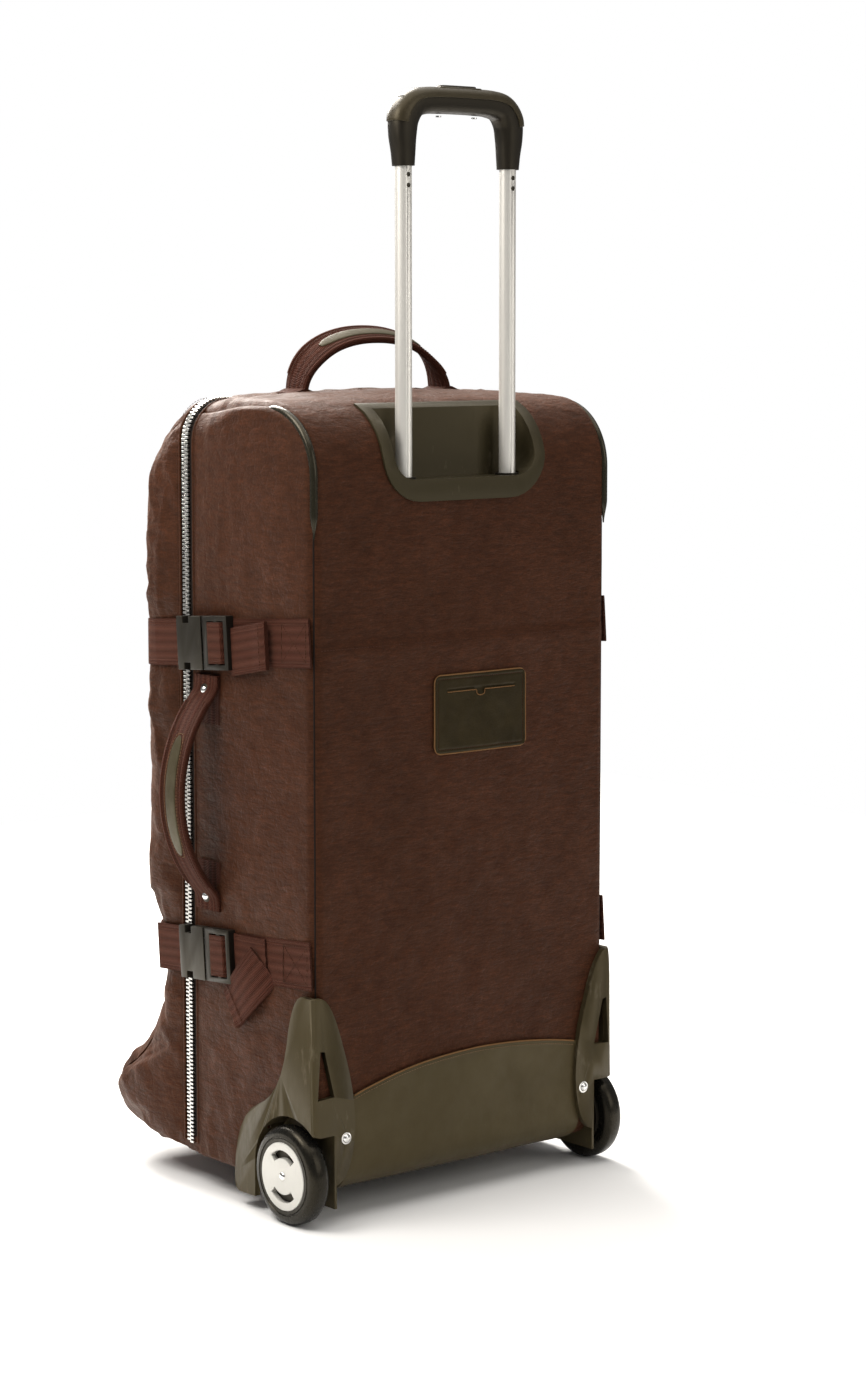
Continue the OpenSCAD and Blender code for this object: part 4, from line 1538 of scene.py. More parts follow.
@dataclass
class SideStraps:
    """Two compression straps on each side with their side-release buckles."""

    size: CaseSize
    finishes: Finishes
    width: float = 46.0
    thick: float = 2.1
    anchor_y: float = -157.0

    def _station(self, side: Side, which: int, y: float, out: float, thick: float | None = None) -> Station:
        """Place on a strap at a depth, a distance out from the panel.

        Args:
            side: Side of the case.
            which: Number of the strap.
            y: Place from back to front.
            out: How far it stands off the side.
            thick: Thickness, if it differs.

        Returns:
            The station.
        """
        s = self.size
        tilt = math.atan(s.fall)
        across = Vector((0.0, math.sin(tilt), math.cos(tilt)))
        return Station(Vector((side.value * (s.half + out), y, s.strap_z(which, y))), across,
            Vector((side.value, 0, 0)), self.width, thick or self.thick)

    def build(self) -> None:
        """Builds all straps, tails and stitches."""
        f = self.finishes
        for side in Side:
            for which, level in ((0, "upper"), (1, "lower")):
                rear = [self._station(side, which, y, 1.5 + 0.5 * crumple(Vector((y, which * 50.0, 0)),
                    40.0, 2.0)) for y in np.linspace(self.anchor_y, -22.0, 46)]
                rear += [self._station(side, which, y, 1.5 + 5.0 * ease((y + 22.0) / 20.0) ** 2)
                    for y in np.linspace(-20.0, -2.0, 8)]
                strap = webbing_strip(f"{level}_strap_{side.letter}", rear)
                dress(strap, f.webbing, "rear_body", ["rear_straps"])
                front = [self._station(side, which, y, 5.2 - 4.0 * ease((y - 40.0) / 16.0))
                    for y in np.linspace(40.0, 92.0, 20)]
                strap = webbing_strip(f"{level}_front_strap_{side.letter}",
                    self._round_corner(front, side, which))
                dress(strap, f.webbing, "lid", ["front_straps"])
                self._crosses(side, which, level)
                loop = [self._station(side, which, y, 2.4 + 9.0 * ease(min(-3.5 - y, y + 36.0) / 6.5))
                    for y in np.linspace(-36.0, -3.5, 28)]
                loop = [Station(st.at, st.across, st.out, 40.0, 1.9) for st in loop]
                dress(webbing_strip(f"{level}_buckle_loop_{side.letter}", loop), f.webbing, "rear_body")
            self._tails(side)
        for node, body in (("buckle_bodies", "lid"), ("buckle_prongs", "rear_body")):
            buckle = cad_copy(f"{node}_moulded", node, 0.9, 3)
            dress(buckle, f.buckle if body == "lid" else f.black, body, [node])

    def _round_corner(self, front: list[Station], side: Side, which: int) -> list[Station]:
        """Leads a front strap round the corner of the lid to its front face.

        Args:
            front: Stations so far.
            side: Side of the case.
            which: Number of the strap.

        Returns:
            The stations.
        """
        s = self.size
        r = 40.0
        face = 134.0 if which == 0 else 117.0
        centre = Vector((side.value * (s.lid_half - r), face - r))
        for degrees in range(10, 91, 8):
            a = math.radians(degrees)
            out = Vector((side.value * math.cos(a), math.sin(a)))
            y = centre.y + out.y * (r + 1.6)
            at = Vector((centre.x + out.x * (r + 1.6), y, s.strap_z(which, 92.0) - (y - 92.0) * s.fall))
            front.append(Station(at, Vector((0, 0, 1)), Vector((out.x, out.y, 0)), self.width, self.thick))
        for x in np.linspace(centre.x, centre.x - side.value * 14.0, 4)[1:]:
            last = front[-1]
            front.append(Station(Vector((x, last.at.y, last.at.z)), last.across, last.out, self.width,
                self.thick))
        return [st for st in front if st.at.y < centre.y or abs(st.at.x) <= s.half + 2.0]

    def _crosses(self, side: Side, which: int, level: str) -> None:
        """Sewn box with a cross at the back end of a strap.

        Args:
            side: Side of the case.
            which: Number of the strap.
            level: Name of the strap.
        """
        y0, y1, h = self.anchor_y + 5.0, self.anchor_y + 42.0, self.width / 2 - 5.0
        out = self.size.half + 2.75
        corners = [(y0, -h), (y1, -h), (y1, h), (y0, h), (y0, -h), (y1, h), (y1, -h), (y0, h)]
        path = [Vector((side.value * out, y, self.size.strap_z(which, y) + z)) for y, z in corners]
        row = stitch_row(f"{level}_strap_cross_{side.letter}", path,
            lambda at: Vector((side.value, 0, 0)), 3.0, 2.2)
        dress(row, self.finishes.brown_thread, "rear_body")

    def _tails(self, side: Side) -> None:
        """Loose ends: the upper one lies on the strap, the lower one hangs forward and down.

        Args:
            side: Side of the case.
        """
        f, s = self.finishes, self.size
        upper = []
        for y in np.linspace(-38.0, -100.0, 30):
            t = (-38.0 - y) / 62.0
            lift = 5.0 + 3.2 * math.sin(math.pi * t) + 4.0 * ease((t - 0.55) / 0.4)
            station = self._station(side, 0, y, lift, 2.3 if t < 0.86 else 4.4)
            upper.append(Station(station.at + Vector((0, 0, -2.0 - 7.0 * (1 - t))), station.across,
                station.out, self.width, station.thick))
        tail = webbing_strip(f"upper_tail_{side.letter}", upper)
        dress(tail, f.webbing, "rear_body", ["strap_tails"])
        lower = []
        start, end = Vector((-88.0, 243.0)), Vector((-36.0, 192.0))
        run = (end - start).normalized()
        for i in range(32):
            t = i / 31
            at = start.lerp(end, t) + Vector((0.0, -4.0 * math.sin(math.pi * t)))
            lift = 4.4 + 5.5 * math.sin(math.pi * min(1.0, t * 1.1)) + 2.0 * t
            twist = math.radians(14.0 - 24.0 * t)
            wide = Vector((math.sin(twist) * side.value, -run.y * math.cos(twist), run.x * math.cos(twist)))
            out = Vector((side.value * math.cos(twist), run.y * math.sin(twist), -run.x * math.sin(twist)))
            lower.append(Station(Vector((side.value * (s.half + lift), at.x, at.y)), wide, out,
                self.width - 1.0, 2.3 if t < 0.82 else 4.4))
        tail = webbing_strip(f"lower_tail_{side.letter}", lower)
        dress(tail, f.webbing, "rear_body")
        fold = self._fold(side)
        dress(fold, f.webbing, "rear_body")
        for level, band in (("lower", lower), ("upper", upper)):
            hem = band[25]
            path = [hem.at + hem.across * (k - 10) * 2.0 + hem.out * 2.3 for k in range(21)]
            row = stitch_row(f"{level}_tail_hem_{side.letter}", path,
                             lambda at: Vector((side.value, 0, 0)), 3.0, 2.2)
            dress(row, f.brown_thread, "rear_body")

    def _fold(self, side: Side) -> bpy.types.Object:
        """Stretch of webbing that turns from the lower buckle back to its hanging tail.

        Args:
            side: Side of the case.

        Returns:
            The piece.
        """
        s = self.size
        stations = []
        for i in range(20):
            t = i / 19
            y = -40.0 - 50.0 * t
            base = self._station(side, 1, y, 3.8 + 1.6 * math.sin(math.pi * t))
            stations.append(Station(base.at + Vector((0.0, 0.0, -2.0 * t)), base.across, base.out,
                self.width, 2.1))
        return webbing_strip(f"lower_tail_turn_{side.letter}", stations)


@dataclass
class CarryHandles:
    """Side and top carry handles of doubled webbing with a leather inset."""

    size: CaseSize
    finishes: Finishes
    side_z: float = 398.0
    side_y: float = 3.0
    side_half: float = 100.0
    side_bow: float = 42.0
    side_width: float = 37.0
    top_y: float = -13.0
    top_half: float = 90.0
    top_rise: float = 58.0
    top_width: float = 31.0
    top_lean: float = 24.0

    def _side_bow(self, z: float) -> float:
        """Distance of the middle of the side band out from the panel.

        Args:
            z: Height.

        Returns:
            Millimetres.
        """
        r = (self.side_half ** 2 + self.side_bow ** 2) / (2 * self.side_bow)
        away = abs(z - self.side_z)
        arc = math.sqrt(max(r * r - away * away, 0.0)) - (r - self.side_bow)
        return 3.6 + 0.5 * (arc + math.sqrt(arc * arc + 20.0)) if away < 115 else 3.6 + 0.6

    def _side_stations(self, z0: float, z1: float, count: int, lift: float, width: float, thick: float,
            taper: bool = False) -> list[Station]:
        """Stations of a band that follows the side handle.

        Args:
            z0: Height of the start.
            z1: Height of the end.
            count: Number of stations.
            lift: How far the band stands off.
            width: Width of the band.
            thick: Thickness, if it differs.
            taper: Rounds the ends.

        Returns:
            The stations.
        """
        stations = []
        for z in np.linspace(z0, z1, count):
            slope = (self._side_bow(z + 1.0) - self._side_bow(z - 1.0)) / 2.0
            out = Vector((-1.0, 0.0, -slope)).normalized()
            t = abs(z - self.side_z) / (abs(z1 - z0) / 2)
            w = width * math.sqrt(max(0.02, 1.0 - t ** 6)) if taper else width
            at = Vector((-(self.size.half + self._side_bow(z)), self.side_y, z)) + out * lift
            stations.append(Station(at, Vector((0, 1, 0)), out, w, thick))
        return stations

    def side_handle(self) -> None:
        """Handle on the left side with its tabs, rivets, inset and stitches."""
        f = self.finishes
        band = webbing_strip("side_handle_band", self._side_stations(513.0, 283.0, 90, 0.0,
            self.side_width, 5.2), 24, 0.3)
        inset = webbing_strip("side_handle_inset", self._side_stations(455.0, 341.0, 48, 2.9, 15.5, 1.6,
            True), 16, 0.6)
        pieces = [(band, f.webbing, "webbing", ["side_handle"]), (inset, f.inset, "leather", [])]
        for edge in (-1, 1):
            stations = self._side_stations(486.0, 310.0, 70, 1.6, 5.0, 3.6)
            stations = [Station(st.at + Vector((0, edge * (self.side_width / 2 - 2.2), 0)), st.across,
                st.out, st.width, st.thick) for st in stations]
            pieces.append((webbing_strip(f"side_handle_rim_{edge + 1}", stations, 10, 0.8), f.webbing,
                "webbing", []))
            row = [st.at + Vector((0, -edge * 3.6, 0)) + st.out * 1.5 for st in stations]
            pieces.append((stitch_row(f"side_handle_stitches_{edge + 1}", row,
                lambda at: Vector((-1, 0, 0)), 3.2, 2.3, 0.7), f.brown_thread, "webbing", []))
        ring = []
        for i in range(73):
            a = math.tau * i / 72
            z = self.side_z + 60.0 * math.copysign(abs(math.cos(a)) ** 0.7, math.cos(a))
            y = self.side_y + 9.8 * math.copysign(abs(math.sin(a)) ** 0.5, math.sin(a))
            ring.append(Vector((-(self.size.half + self._side_bow(z) + 3.0), y, z)))
        pieces.append((stitch_row("side_inset_stitches", ring, lambda at: Vector((-1, 0, 0)), 3.2, 2.2,
            0.7), f.tan_thread, "leather", []))
        for piece, material, slot, nodes in pieces:
            dress(piece, material, None, nodes)
            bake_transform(piece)
        for i, z in enumerate((489.0, 307.0)):
            tab = [Station(Vector((-(self.size.half + 1.7), self.side_y, z + k)), Vector((0, 1, 0)),
                Vector((-1, 0, 0)), 37.0, 2.8) for k in np.linspace(-24, 24, 12)]
            dress(webbing_strip(f"side_handle_tab_{i + 1}", tab), f.webbing, "rear_body",
                ["handle_tabs"])
        self._rivets()

    def _rivets(self) -> None:
        """Domed rivets with a dark seat."""
        f = self.finishes
        out = -(self.size.half + 6.4)
        for i, z in enumerate((498.0, 297.0)):
            dome = lathe(f"side_handle_rivet_{i + 1}", [(0, 4.4), (1.6, 4.2), (3.2, 3.4), (4.2, 2.2),
                (4.6, 1.0), (4.6, 0.0), (0, 0.0)], 28, "X", (out, self.side_y, z), True)
            smooth(dome, 50.0)
            dress(dome, f.steel, "rear_body", ["handle_rivets"])
            seat = lathe(f"side_handle_seat_{i + 1}", [(3.8, 1.7), (5.4, 1.5), (6.4, 0.7), (6.5, -0.4),
                (3.8, -0.4)], 28, "X", (out, self.side_y, z), True)
            smooth(seat, 50.0)
            dress(seat, f.black, "rear_body")

    def _top_point(self, share: float) -> tuple[Vector, Vector]:
        """Place on the arch of the top handle and the direction out of it.

        Args:
            share: Place on the length, from 0 to 1.

        Returns:
            The place and the direction out.
        """
        base = self.size.top + 4.0
        angle = math.pi * (1.0 - share)
        c, s = math.cos(angle), math.sin(angle)
        at = Vector((math.copysign(abs(c) ** 0.92, c) * self.top_half, self.top_y,
            base + abs(s) ** 0.96 * self.top_rise))
        return at, Vector((c / self.top_half, 0, s / self.top_rise)).normalized()

    def top_handle(self) -> None:
        """Handle on the top with sewn feet and a leather inset."""
        f, top = self.finishes, self.size.top
        stations = []
        for i in range(81):
            at, out = self._top_point(i / 80)
            lean = math.radians(self.top_lean) * ease(4.0 * min(i / 80, 1.0 - i / 80))
            across = Vector((0, math.cos(lean), 0)) + out * math.sin(lean)
            out = out * math.cos(lean) - Vector((0, math.sin(lean), 0))
            stations.append(Station(at, across, out, self.top_width, 7.0))
        band = webbing_strip("top_handle_band", stations, 24, 0.42)
        pieces = [(band, f.webbing, "webbing", ["top_handle"])]
        for edge in (-1, 1):
            rim = [Station(st.at + st.across * edge * (self.top_width / 2 - 2.0) + st.out * 1.6,
                st.across, st.out, 4.6, 4.4) for st in stations[8:-8]]
            pieces.append((webbing_strip(f"top_handle_rim_{edge + 1}", rim, 10, 0.8), f.webbing,
                "webbing", []))
            row = [st.at - st.across * edge * 3.6 + st.out * 2.2 for st in rim]
            pieces.append((stitch_row(f"top_handle_stitches_{edge + 1}", row,
                lambda at: Vector((0, 0, 1)), 3.2, 2.3, 0.7), f.brown_thread, "webbing", []))
        inset = []
        for i in range(22, 59):
            st = stations[i]
            t = abs(i - 40) / 18.5
            inset.append(Station(st.at + st.out * 3.6, st.across, st.out,
                12.0 * math.sqrt(max(0.02, 1 - t ** 6)), 1.8))
        pieces.append((webbing_strip("top_handle_inset", inset, 16, 0.6), f.inset, "leather", []))
        for piece, material, slot, nodes in pieces:
            dress(piece, material, None, nodes)
            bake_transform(piece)
        for side in Side:
            foot = []
            for k in np.linspace(0.0, 1.0, 14):
                x = side.value * (64.0 + 44.0 * k)
                rise = 2.0 + 4.0 * dent(k, 0.62, 0.2)
                foot.append(Station(Vector((x, self.top_y, top + rise + 3.5 * math.cos(x / 184.0 * 1.35))),
                                    Vector((0, 1, 0)), Vector((0, 0, 1)), 31.0 if k < 0.8 else 30.0, 4.2))
            if side is Side.LEFT:
                foot.reverse()
            piece = webbing_strip(f"top_handle_foot_{side.letter}", foot)
            dress(piece, f.webbing, "rear_body", ["top_handle_feet"])


# ---------------------------------------------------------------- pockets, trim and hard parts


def rounded_loop(low: Sequence[float], high: Sequence[float], radius: float, step: int = 6) -> list[Vector]:
    """Closed loop of (x, z) points round a rounded rectangle.

    Args:
        low: Lowest corner, in millimetres.
        high: Highest corner, in millimetres.
        radius: Radius of the corners.
        step: Points of each corner.

    Returns:
        The points.
    """
    corners = ((low[0] + radius, low[1] + radius, 180), (high[0] - radius, low[1] + radius, 270),
        (high[0] - radius, high[1] - radius, 0), (low[0] + radius, high[1] - radius, 90))
    loop = []
    for x, z, start in corners:
        loop += arc_points(Vector((x, z)), radius, start, start + 90, step)
    loop.append(loop[0])
    dense = []
    for a, b in zip(loop, loop[1:]):
        count = max(1, round((b - a).length / 6.0))
        dense += [a.lerp(b, i / count) for i in range(count)]
    return dense + [loop[0]]


@dataclass
class FrontPocket:
    """Flat zipped pocket on the front of the lid."""

    finishes: Finishes
    lid: Lid
    level: str
    half: float = 138.0
    low: float = 350.0
    high: float = 672.0
    corner: float = 20.0
    zip_z: float = 678.0
    bulge: float = 7.0

    def _front(self, z: float) -> float:
        """Depth of the front of the lid at a height.

        Args:
            z: Height.

        Returns:
            Millimetres.
        """
        shape = self.lid.shape
        for (y0, z0), (y1, z1) in zip(shape, shape[1:]):
            if z0 <= z <= z1 and z0 > 88:
                return y0 + (y1 - y0) * (z - z0) / (z1 - z0)
        return 137.0

    def build(self) -> None:
        """Builds the pocket, its bound edge and its zip."""
        f = self.finishes
        width, tall = 2 * self.half, self.high - self.low

        def place(u: float, v: float) -> Vector:
            """Point of the pocket's face."""
            x, z = -self.half + width * u, self.low + tall * v
            inner = min(u * width, (1 - u) * width, v * tall, (1 - v) * tall)
            rise = self.bulge * ease(inner / 24.0) - 3.0 * (1.0 - ease(inner / 5.0))
            folds = 1.6 * crumple(Vector((x, z, 40.0)), 60.0, 6.0) + 1.4 * ridge(
                Vector((x * 1.4, z * 0.5, 7.0)), 60.0, 9.0)
            return Vector((x, self._front(z) + 2.0 + rise + folds * ease(inner / 20.0), z))

        face = sheet_mesh(f"{self.level}_pocket_face", round(width / 5), round(tall / 5), place, flip=True)
        swell(face, lambda p: min(p.x + self.half, self.half - p.x, p.z - self.low,
            self.high - p.z) < 8.0, 2.0, 5.0, grow=0.01, frames=10)
        modify(face, "SOLIDIFY", thickness=1.8 * MM, offset=-1.0)
        smooth(face, 70.0)
        dress(face, f.nylon, "lid", [f"{self.level}_pocket"])
        loop = rounded_loop((-self.half + 2, self.low + 2), (self.half - 2, self.high - 2), self.corner)
        points = [Vector((p.x, self._front(p.y) + 4.2, p.y)) for p in loop]
        welt = tube_along(f"{self.level}_pocket_binding", points, [2.1] * len(points), 8)
        smooth(welt, 80.0)
        dress(welt, f.nylon, "lid")
        row = [Vector((p.x * (1 - 7 / self.half), p.y + 3.2, p.z
            + (4.5 if p.z < (self.low + self.high) / 2 else -4.5))) for p in points]
        dress(stitch_row(f"{self.level}_pocket_stitches", row, lambda at: Vector((0, 1, 0)), 3.6, 2.4,
            0.6), f.brown_thread, "lid")
        self._zip()

    def _zip(self) -> None:
        """Horizontal zip under a cloth lip."""
        f, z, y = self.finishes, self.zip_z, self._front(self.zip_z) + 4.2
        tape = sheet_mesh(f"{self.level}_pocket_tape", 60, 4, lambda u,
            v: Vector((-self.half + 2 * self.half * u, y + 0.5 * math.sin(v * math.pi),
            z - 7.0 + 14.0 * v)), flip=True)
        modify(tape, "SOLIDIFY", thickness=0.9 * MM, offset=-1.0)
        dress(tape, f.tape, "lid", [f"{self.level}_pocket_zip"])
        places = []
        for i in range(int(2 * (self.half - 4) / 2.0)):
            x = -self.half + 4 + 2.0 * i
            places.append(basis(Vector((x, y + 1.2, z + (0.9 if i % 2 else -0.9))), Vector((1, 0, 0)),
                Vector((0, 1, 0))))
        dress(repeated(f"{self.level}_pocket_teeth", unit_block((1.4, 3.0, 1.5), 0.25), places),
            f.zip_metal, "lid")
        for edge in (-1, 1):
            points = [Vector((x, y + 0.9, z + edge * 6.4)) for x in np.linspace(-self.half, self.half, 60)]
            lip = tube_along(f"{self.level}_pocket_lip_{edge + 1}", points, [2.0] * 60, 8)
            smooth(lip, 80.0)
            dress(lip, f.nylon, "lid")
        pull = cad_copy(f"{self.level}_pocket_slider", f"{self.level}_pocket_pull", 0.5)
        dress(pull, f.zip_metal, f"{self.level}_pocket_pull", [f"{self.level}_pocket_pull"])


@dataclass
class BackTrim:
    """Scuff panel, corner piping, address patch and stand foot."""

    size: CaseSize
    finishes: Finishes
    shell: RearShell
    scuff_half: float = 149.0
    patch_low: tuple[float, float] = (-41.0, 439.0)
    patch_high: tuple[float, float] = (75.0, 515.0)

    def on_back(self, x: float, z: float, lift: float) -> Vector:
        """Point a distance out from the back panel."""
        base = Vector((x, self.size.back, z))
        return base - Vector((0, self.shell.relief(base, "wrap") + lift, 0))

    def scuff_top(self, x: float) -> float:
        """Height of the waved top edge of the scuff panel."""
        t = (x - 15.0) / 150.0
        return 146.5 - 18.5 * t * t - 3.0 * max(0.0, -t) ** 3

    def scuff(self) -> None:
        """Coated cloth that wraps the lower back corner, with its turned edge and stitches."""
        f, s = self.finishes, self.size
        line = self.shell.outline()
        turn_at = [i / 400 for i in range(401) if line.at(i / 400).x <= -58.0][0]

        def place(u: float, v: float) -> Vector:
            """Point of the panel."""
            x = -self.scuff_half + 2 * self.scuff_half * u
            top = next(k / 400 for k in range(120, 400) if line.at(k / 400).y >= self.scuff_top(x))
            share = turn_at + (top - turn_at) * v
            share += (self.scuff_top(x) - line.at(top).y) / line.reach[-1] * v
            spot, out = line.at(share), line.normal(share, -1.0)
            base = Vector((x, spot.x, spot.y))
            lift = self.shell.relief(base, "wrap") * ease((spot.y - 60.0) / 40.0) + 1.5
            lift += 1.3 * max(0.0, 1.0 - abs((1.0 - v) * 220.0 - 2.0) / 2.2)
            lift += 0.5 * crumple(base, 50.0, 21.0)
            return base + Vector((0, out.x, out.y)) * lift

        panel = sheet_mesh("scuff_cloth", 62, 90, place)
        modify(panel, "SOLIDIFY", thickness=1.3 * MM, offset=-1.0)
        smooth(panel, 60.0)
        dress(panel, f.coated, "rear_body", ["scuff_panel"])
        for name, drop, material, width in (("scuff_edge", 0.4, f.raw_edge, 1.0),
                ("scuff_stitches", 4.5, f.tan_thread, 0.6)):
            path = [self.on_back(x, self.scuff_top(x) - drop, 3.2 if drop < 1 else 2.6)
                for x in np.linspace(-140, 140, 90)]
            if drop < 1:
                piece = tube_along(name, path, [width * 0.75] * 90, 8)
                smooth(piece, 80.0)
            else:
                piece = stitch_row(name, path, lambda at: Vector((0, -1, 0)), 3.2, 2.3, width)
            dress(piece, material, "rear_body")

    def piping(self) -> None:
        """Glossy piping round the upper back corners, with tapered ends."""
        s = self.size
        for side in Side:
            points = [Vector((side.value * (s.half - 2.6), s.back + 1.6, z))
                for z in np.linspace(652, s.top - 68, 18)]
            bend = arc_points(Vector((s.back + 1.6 + 62.0, s.top - 68.0)), 62.0, 180, 90, 26)
            points += [Vector((side.value * (s.half - 2.6), p.x, p.y)) for p in bend[1:]]
            points += [Vector((side.value * (s.half - 2.6 - 1.2 * k), s.back + 63.6 + 8.0 * k,
                s.top - 6.0 - 0.5 * k)) for k in range(1, 6)]
            count = len(points)
            radii = [0.7 + 3.1 * ease(min(i / 7.0, (count - 1 - i) / 6.0)) for i in range(count)]
            bead = tube_along(f"corner_piping_{side.letter}", points, radii, 14)
            smooth(bead, 80.0)
            dress(bead, self.finishes.piping, "rear_body", [f"piping_{side.letter}"])
            # A thin dark cord down each vertical back corner: a painted shadow line standing in for the shade
            # of the sewn seam
            line = [Vector((side.value * (s.half - 3.7), s.back + 3.7, z))
                for z in np.linspace(206, 656, 60)]
            seam = tube_along(f"corner_seam_{side.letter}", line, [0.95] * len(line), 8)
            smooth(seam, 80.0)
            dress(seam, self.finishes.tape, "rear_body")

    def patch(self) -> None:
        """Leather address patch with a slot, a raw edge and a stitched border."""
        f = self.finishes
        low, high = self.patch_low, self.patch_high
        loop = rounded_loop(low, high, 8.0)
        centre = Vector(((low[0] + high[0]) / 2, (low[1] + high[1]) / 2))
        half = Vector(((high[0] - low[0]) / 2, (high[1] - low[1]) / 2))

        def place(u: float, v: float) -> Vector:
            """Point of the leather face, a square of cells pressed into the rounded outline."""
            a, b = u * 2 - 1, v * 2 - 1
            r = 8.0
            x, z = a * half.x, b * half.y
            over_x, over_z = abs(x) - (half.x - r), abs(z) - (half.y - r)
            if over_x > 0 and over_z > 0:
                far = math.hypot(over_x, over_z)
                keep = max(over_x, over_z) / far
                x = math.copysign(half.x - r + over_x * keep, x)
                z = math.copysign(half.y - r + over_z * keep, z)
            edge = min(half.x - abs(x), half.y - abs(z))
            notch = math.hypot(x + centre.x - 17.0, z + centre.y - 499.5)
            slot = max(abs(z + centre.y - 500.0) - 0.9, abs(x + centre.x - 17.5) - 43.0)
            cut = ease(0.5 - min(slot, notch - 6.5 if z + centre.y < 500.0 else 9.0) / 1.6)
            lift = 2.3 - 0.8 * (1.0 - ease(edge / 1.5)) - 0.7 * dent(edge, 4.2, 0.7) - 1.3 * cut
            return self.on_back(centre.x + x, centre.y + z, lift + 0.3
                * crumple(Vector((x, z, 0)), 26.0, 5.0))

        face = sheet_mesh("address_leather", 116, 76, place)
        modify(face, "SOLIDIFY", thickness=1.6 * MM, offset=-1.0)
        smooth(face, 50.0)
        dress(face, f.patch, "rear_body", ["address_patch"])
        rim = [self.on_back(p.x, p.y, 1.5) for p in loop]
        piece = tube_along("address_raw_edge", rim, [0.75] * len(rim), 6)
        smooth(piece, 80.0)
        dress(piece, f.raw_edge, "rear_body")
        inner = rounded_loop((low[0] + 4, low[1] + 4), (high[0] - 4, high[1] - 4), 5.0)
        row = [self.on_back(p.x, p.y, 1.9) for p in inner]
        dress(stitch_row("address_stitches", row, lambda at: Vector((0, -1, 0)), 2.8, 2.0, 0.55),
            f.brown_thread, "rear_body")
        lip = [self.on_back(x, 498.4 - (5.6 if abs(x - 17) < 5 else 0.0)
            * math.sqrt(max(0, 1 - ((x - 17) / 6.6) ** 2)), 2.3) for x in np.linspace(-25.0, 60.0, 120)]
        piece = tube_along("address_slot_edge", lip, [0.45] * 120, 6)
        dress(piece, f.raw_edge, "rear_body")

    def build(self) -> None:
        """Builds all trim of the back."""
        self.scuff()
        self.piping()
        self.patch()
        foot = cad_copy("stand_bar", "stand_foot", 3.0, 3, 30.0)
        dress(foot, self.finishes.black, "rear_body", ["stand_foot"])


@dataclass
class Undercarriage:
    """Wheel housings, wheels, axles and bolts."""

    finishes: Finishes
    wheel_y: float = -128.7
    wheel_z: float = 47.5
    outer: float = 199.6

    def housing(self, side: Side) -> None:
        """Moulded corner guard with round edges.

        Args:
            side: Side of the case.
        """
        letter = side.letter
        node = f"wheel_housing_{letter}"
        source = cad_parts[node]
        piece = bpy.data.objects.new(f"corner_guard_{letter}", source.data.copy())
        piece.data.name = piece.name
        bpy.context.scene.collection.objects.link(piece)
        editing(piece, merge, lambda: bpy.ops.mesh.dissolve_limited(angle_limit=math.radians(0.5)))
        low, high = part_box(node)
        reach = max(abs(low.x), abs(high.x))
        only(piece)
        bpy.ops.object.mode_set(mode="EDIT")
        bpy.ops.mesh.select_all(action="DESELECT")
        bpy.ops.mesh.select_mode(type="EDGE")
        bpy.ops.object.mode_set(mode="OBJECT")
        for edge in piece.data.edges:
            a, b = (piece.data.vertices[i].co for i in edge.vertices)
            at_corner = all(abs(abs(p.x) - reach) < 0.0003 and abs(p.y - low.y) < 0.0003 for p in (a, b))
            edge.select = at_corner and abs(a.z - b.z) > 0.01
        bpy.ops.object.mode_set(mode="EDIT")
        bpy.ops.mesh.bevel(offset=0.0075, segments=6, affect="EDGES")
        bpy.ops.object.mode_set(mode="OBJECT")
        modify(piece, "BEVEL", width=0.0014, segments=3, limit_method="ANGLE",
            angle_limit=math.radians(38), use_clamp_overlap=True)
        smooth(piece, 45.0)
        dress(piece, self.finishes.olive, "rear_body", [node])

    def wheel(self, side: Side) -> None:
        """Rounded tyre, hub, painted cap and its bolt.

        Args:
            side: Side of the case.
        """
        f, letter = self.finishes, side.letter
        body = f"wheel_{letter}"
        mirrored = side is Side.LEFT
        at = (side.value * self.outer, self.wheel_y, self.wheel_z)
        outline = [(33.0, -0.9), (36.0, -0.7), (36.6, -1.6), (37.4, -1.6), (38.0, -0.7), (41.0, -1.2)]
        outline += [(p.x, p.y) for p in arc_points(Vector((39.2, -9.2)), 8.2, 80, 10, 7)]
        outline += [(47.5, -11.0), (47.5, -12.6)]
        outline += [(p.x, p.y) for p in arc_points(Vector((39.2, -14.6)), 8.2, -10, -80, 7)]
        outline += [(38.0, -22.6), (33.0, -22.4)]
        tyre = lathe(f"wheel_tyre_{letter}", outline, 96, "X", at, mirrored)
        smooth(tyre, 30.0)
        dress(tyre, f.tyre, body, [f"tyre_{letter}"])
        cap = cad_copy(f"wheel_cap_{letter}", f"hub_cap_{letter}", 0.7, 3, 35.0)
        dress(cap, f.hub, body, [f"hub_cap_{letter}"])
        bolt = lathe(f"wheel_cap_bolt_{letter}", [(0, 2.0), (2.2, 1.8), (3.6, 1.1), (4.3, 0.0),
            (4.3, -1.0), (0, -1.0)], 28, "X", at, mirrored)
        smooth(bolt, 50.0)
        dress(bolt, f.steel, body)
        keep(f"hub_{letter}", f.black)
        keep(f"bearings_{letter}", f.steel)
        keep(f"axle_{letter}", f.steel)

    def bolts(self) -> None:
        """Dome bolts with a washer on the back of both housings."""
        low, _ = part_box("housing_bolts")
        for side in Side:
            bolt = lathe(f"guard_bolt_{side.letter}", [(0, 3.0), (1.8, 2.8), (3.2, 2.1), (4.2, 0.9),
                (4.4, 0.2), (5.7, 0.0), (5.9, -0.9), (0, -0.9)], 32, "Y",
                (side.value * 151.7, low.y / MM + 2.4, 84.2), True)
            smooth(bolt, 40.0)
            dress(bolt, self.finishes.steel, "rear_body",
                ["housing_bolts"] if side is Side.LEFT else [])

    def build(self) -> None:
        """Builds both sides."""
        for side in Side:
            self.housing(side)
            self.wheel(side)
        self.bolts()


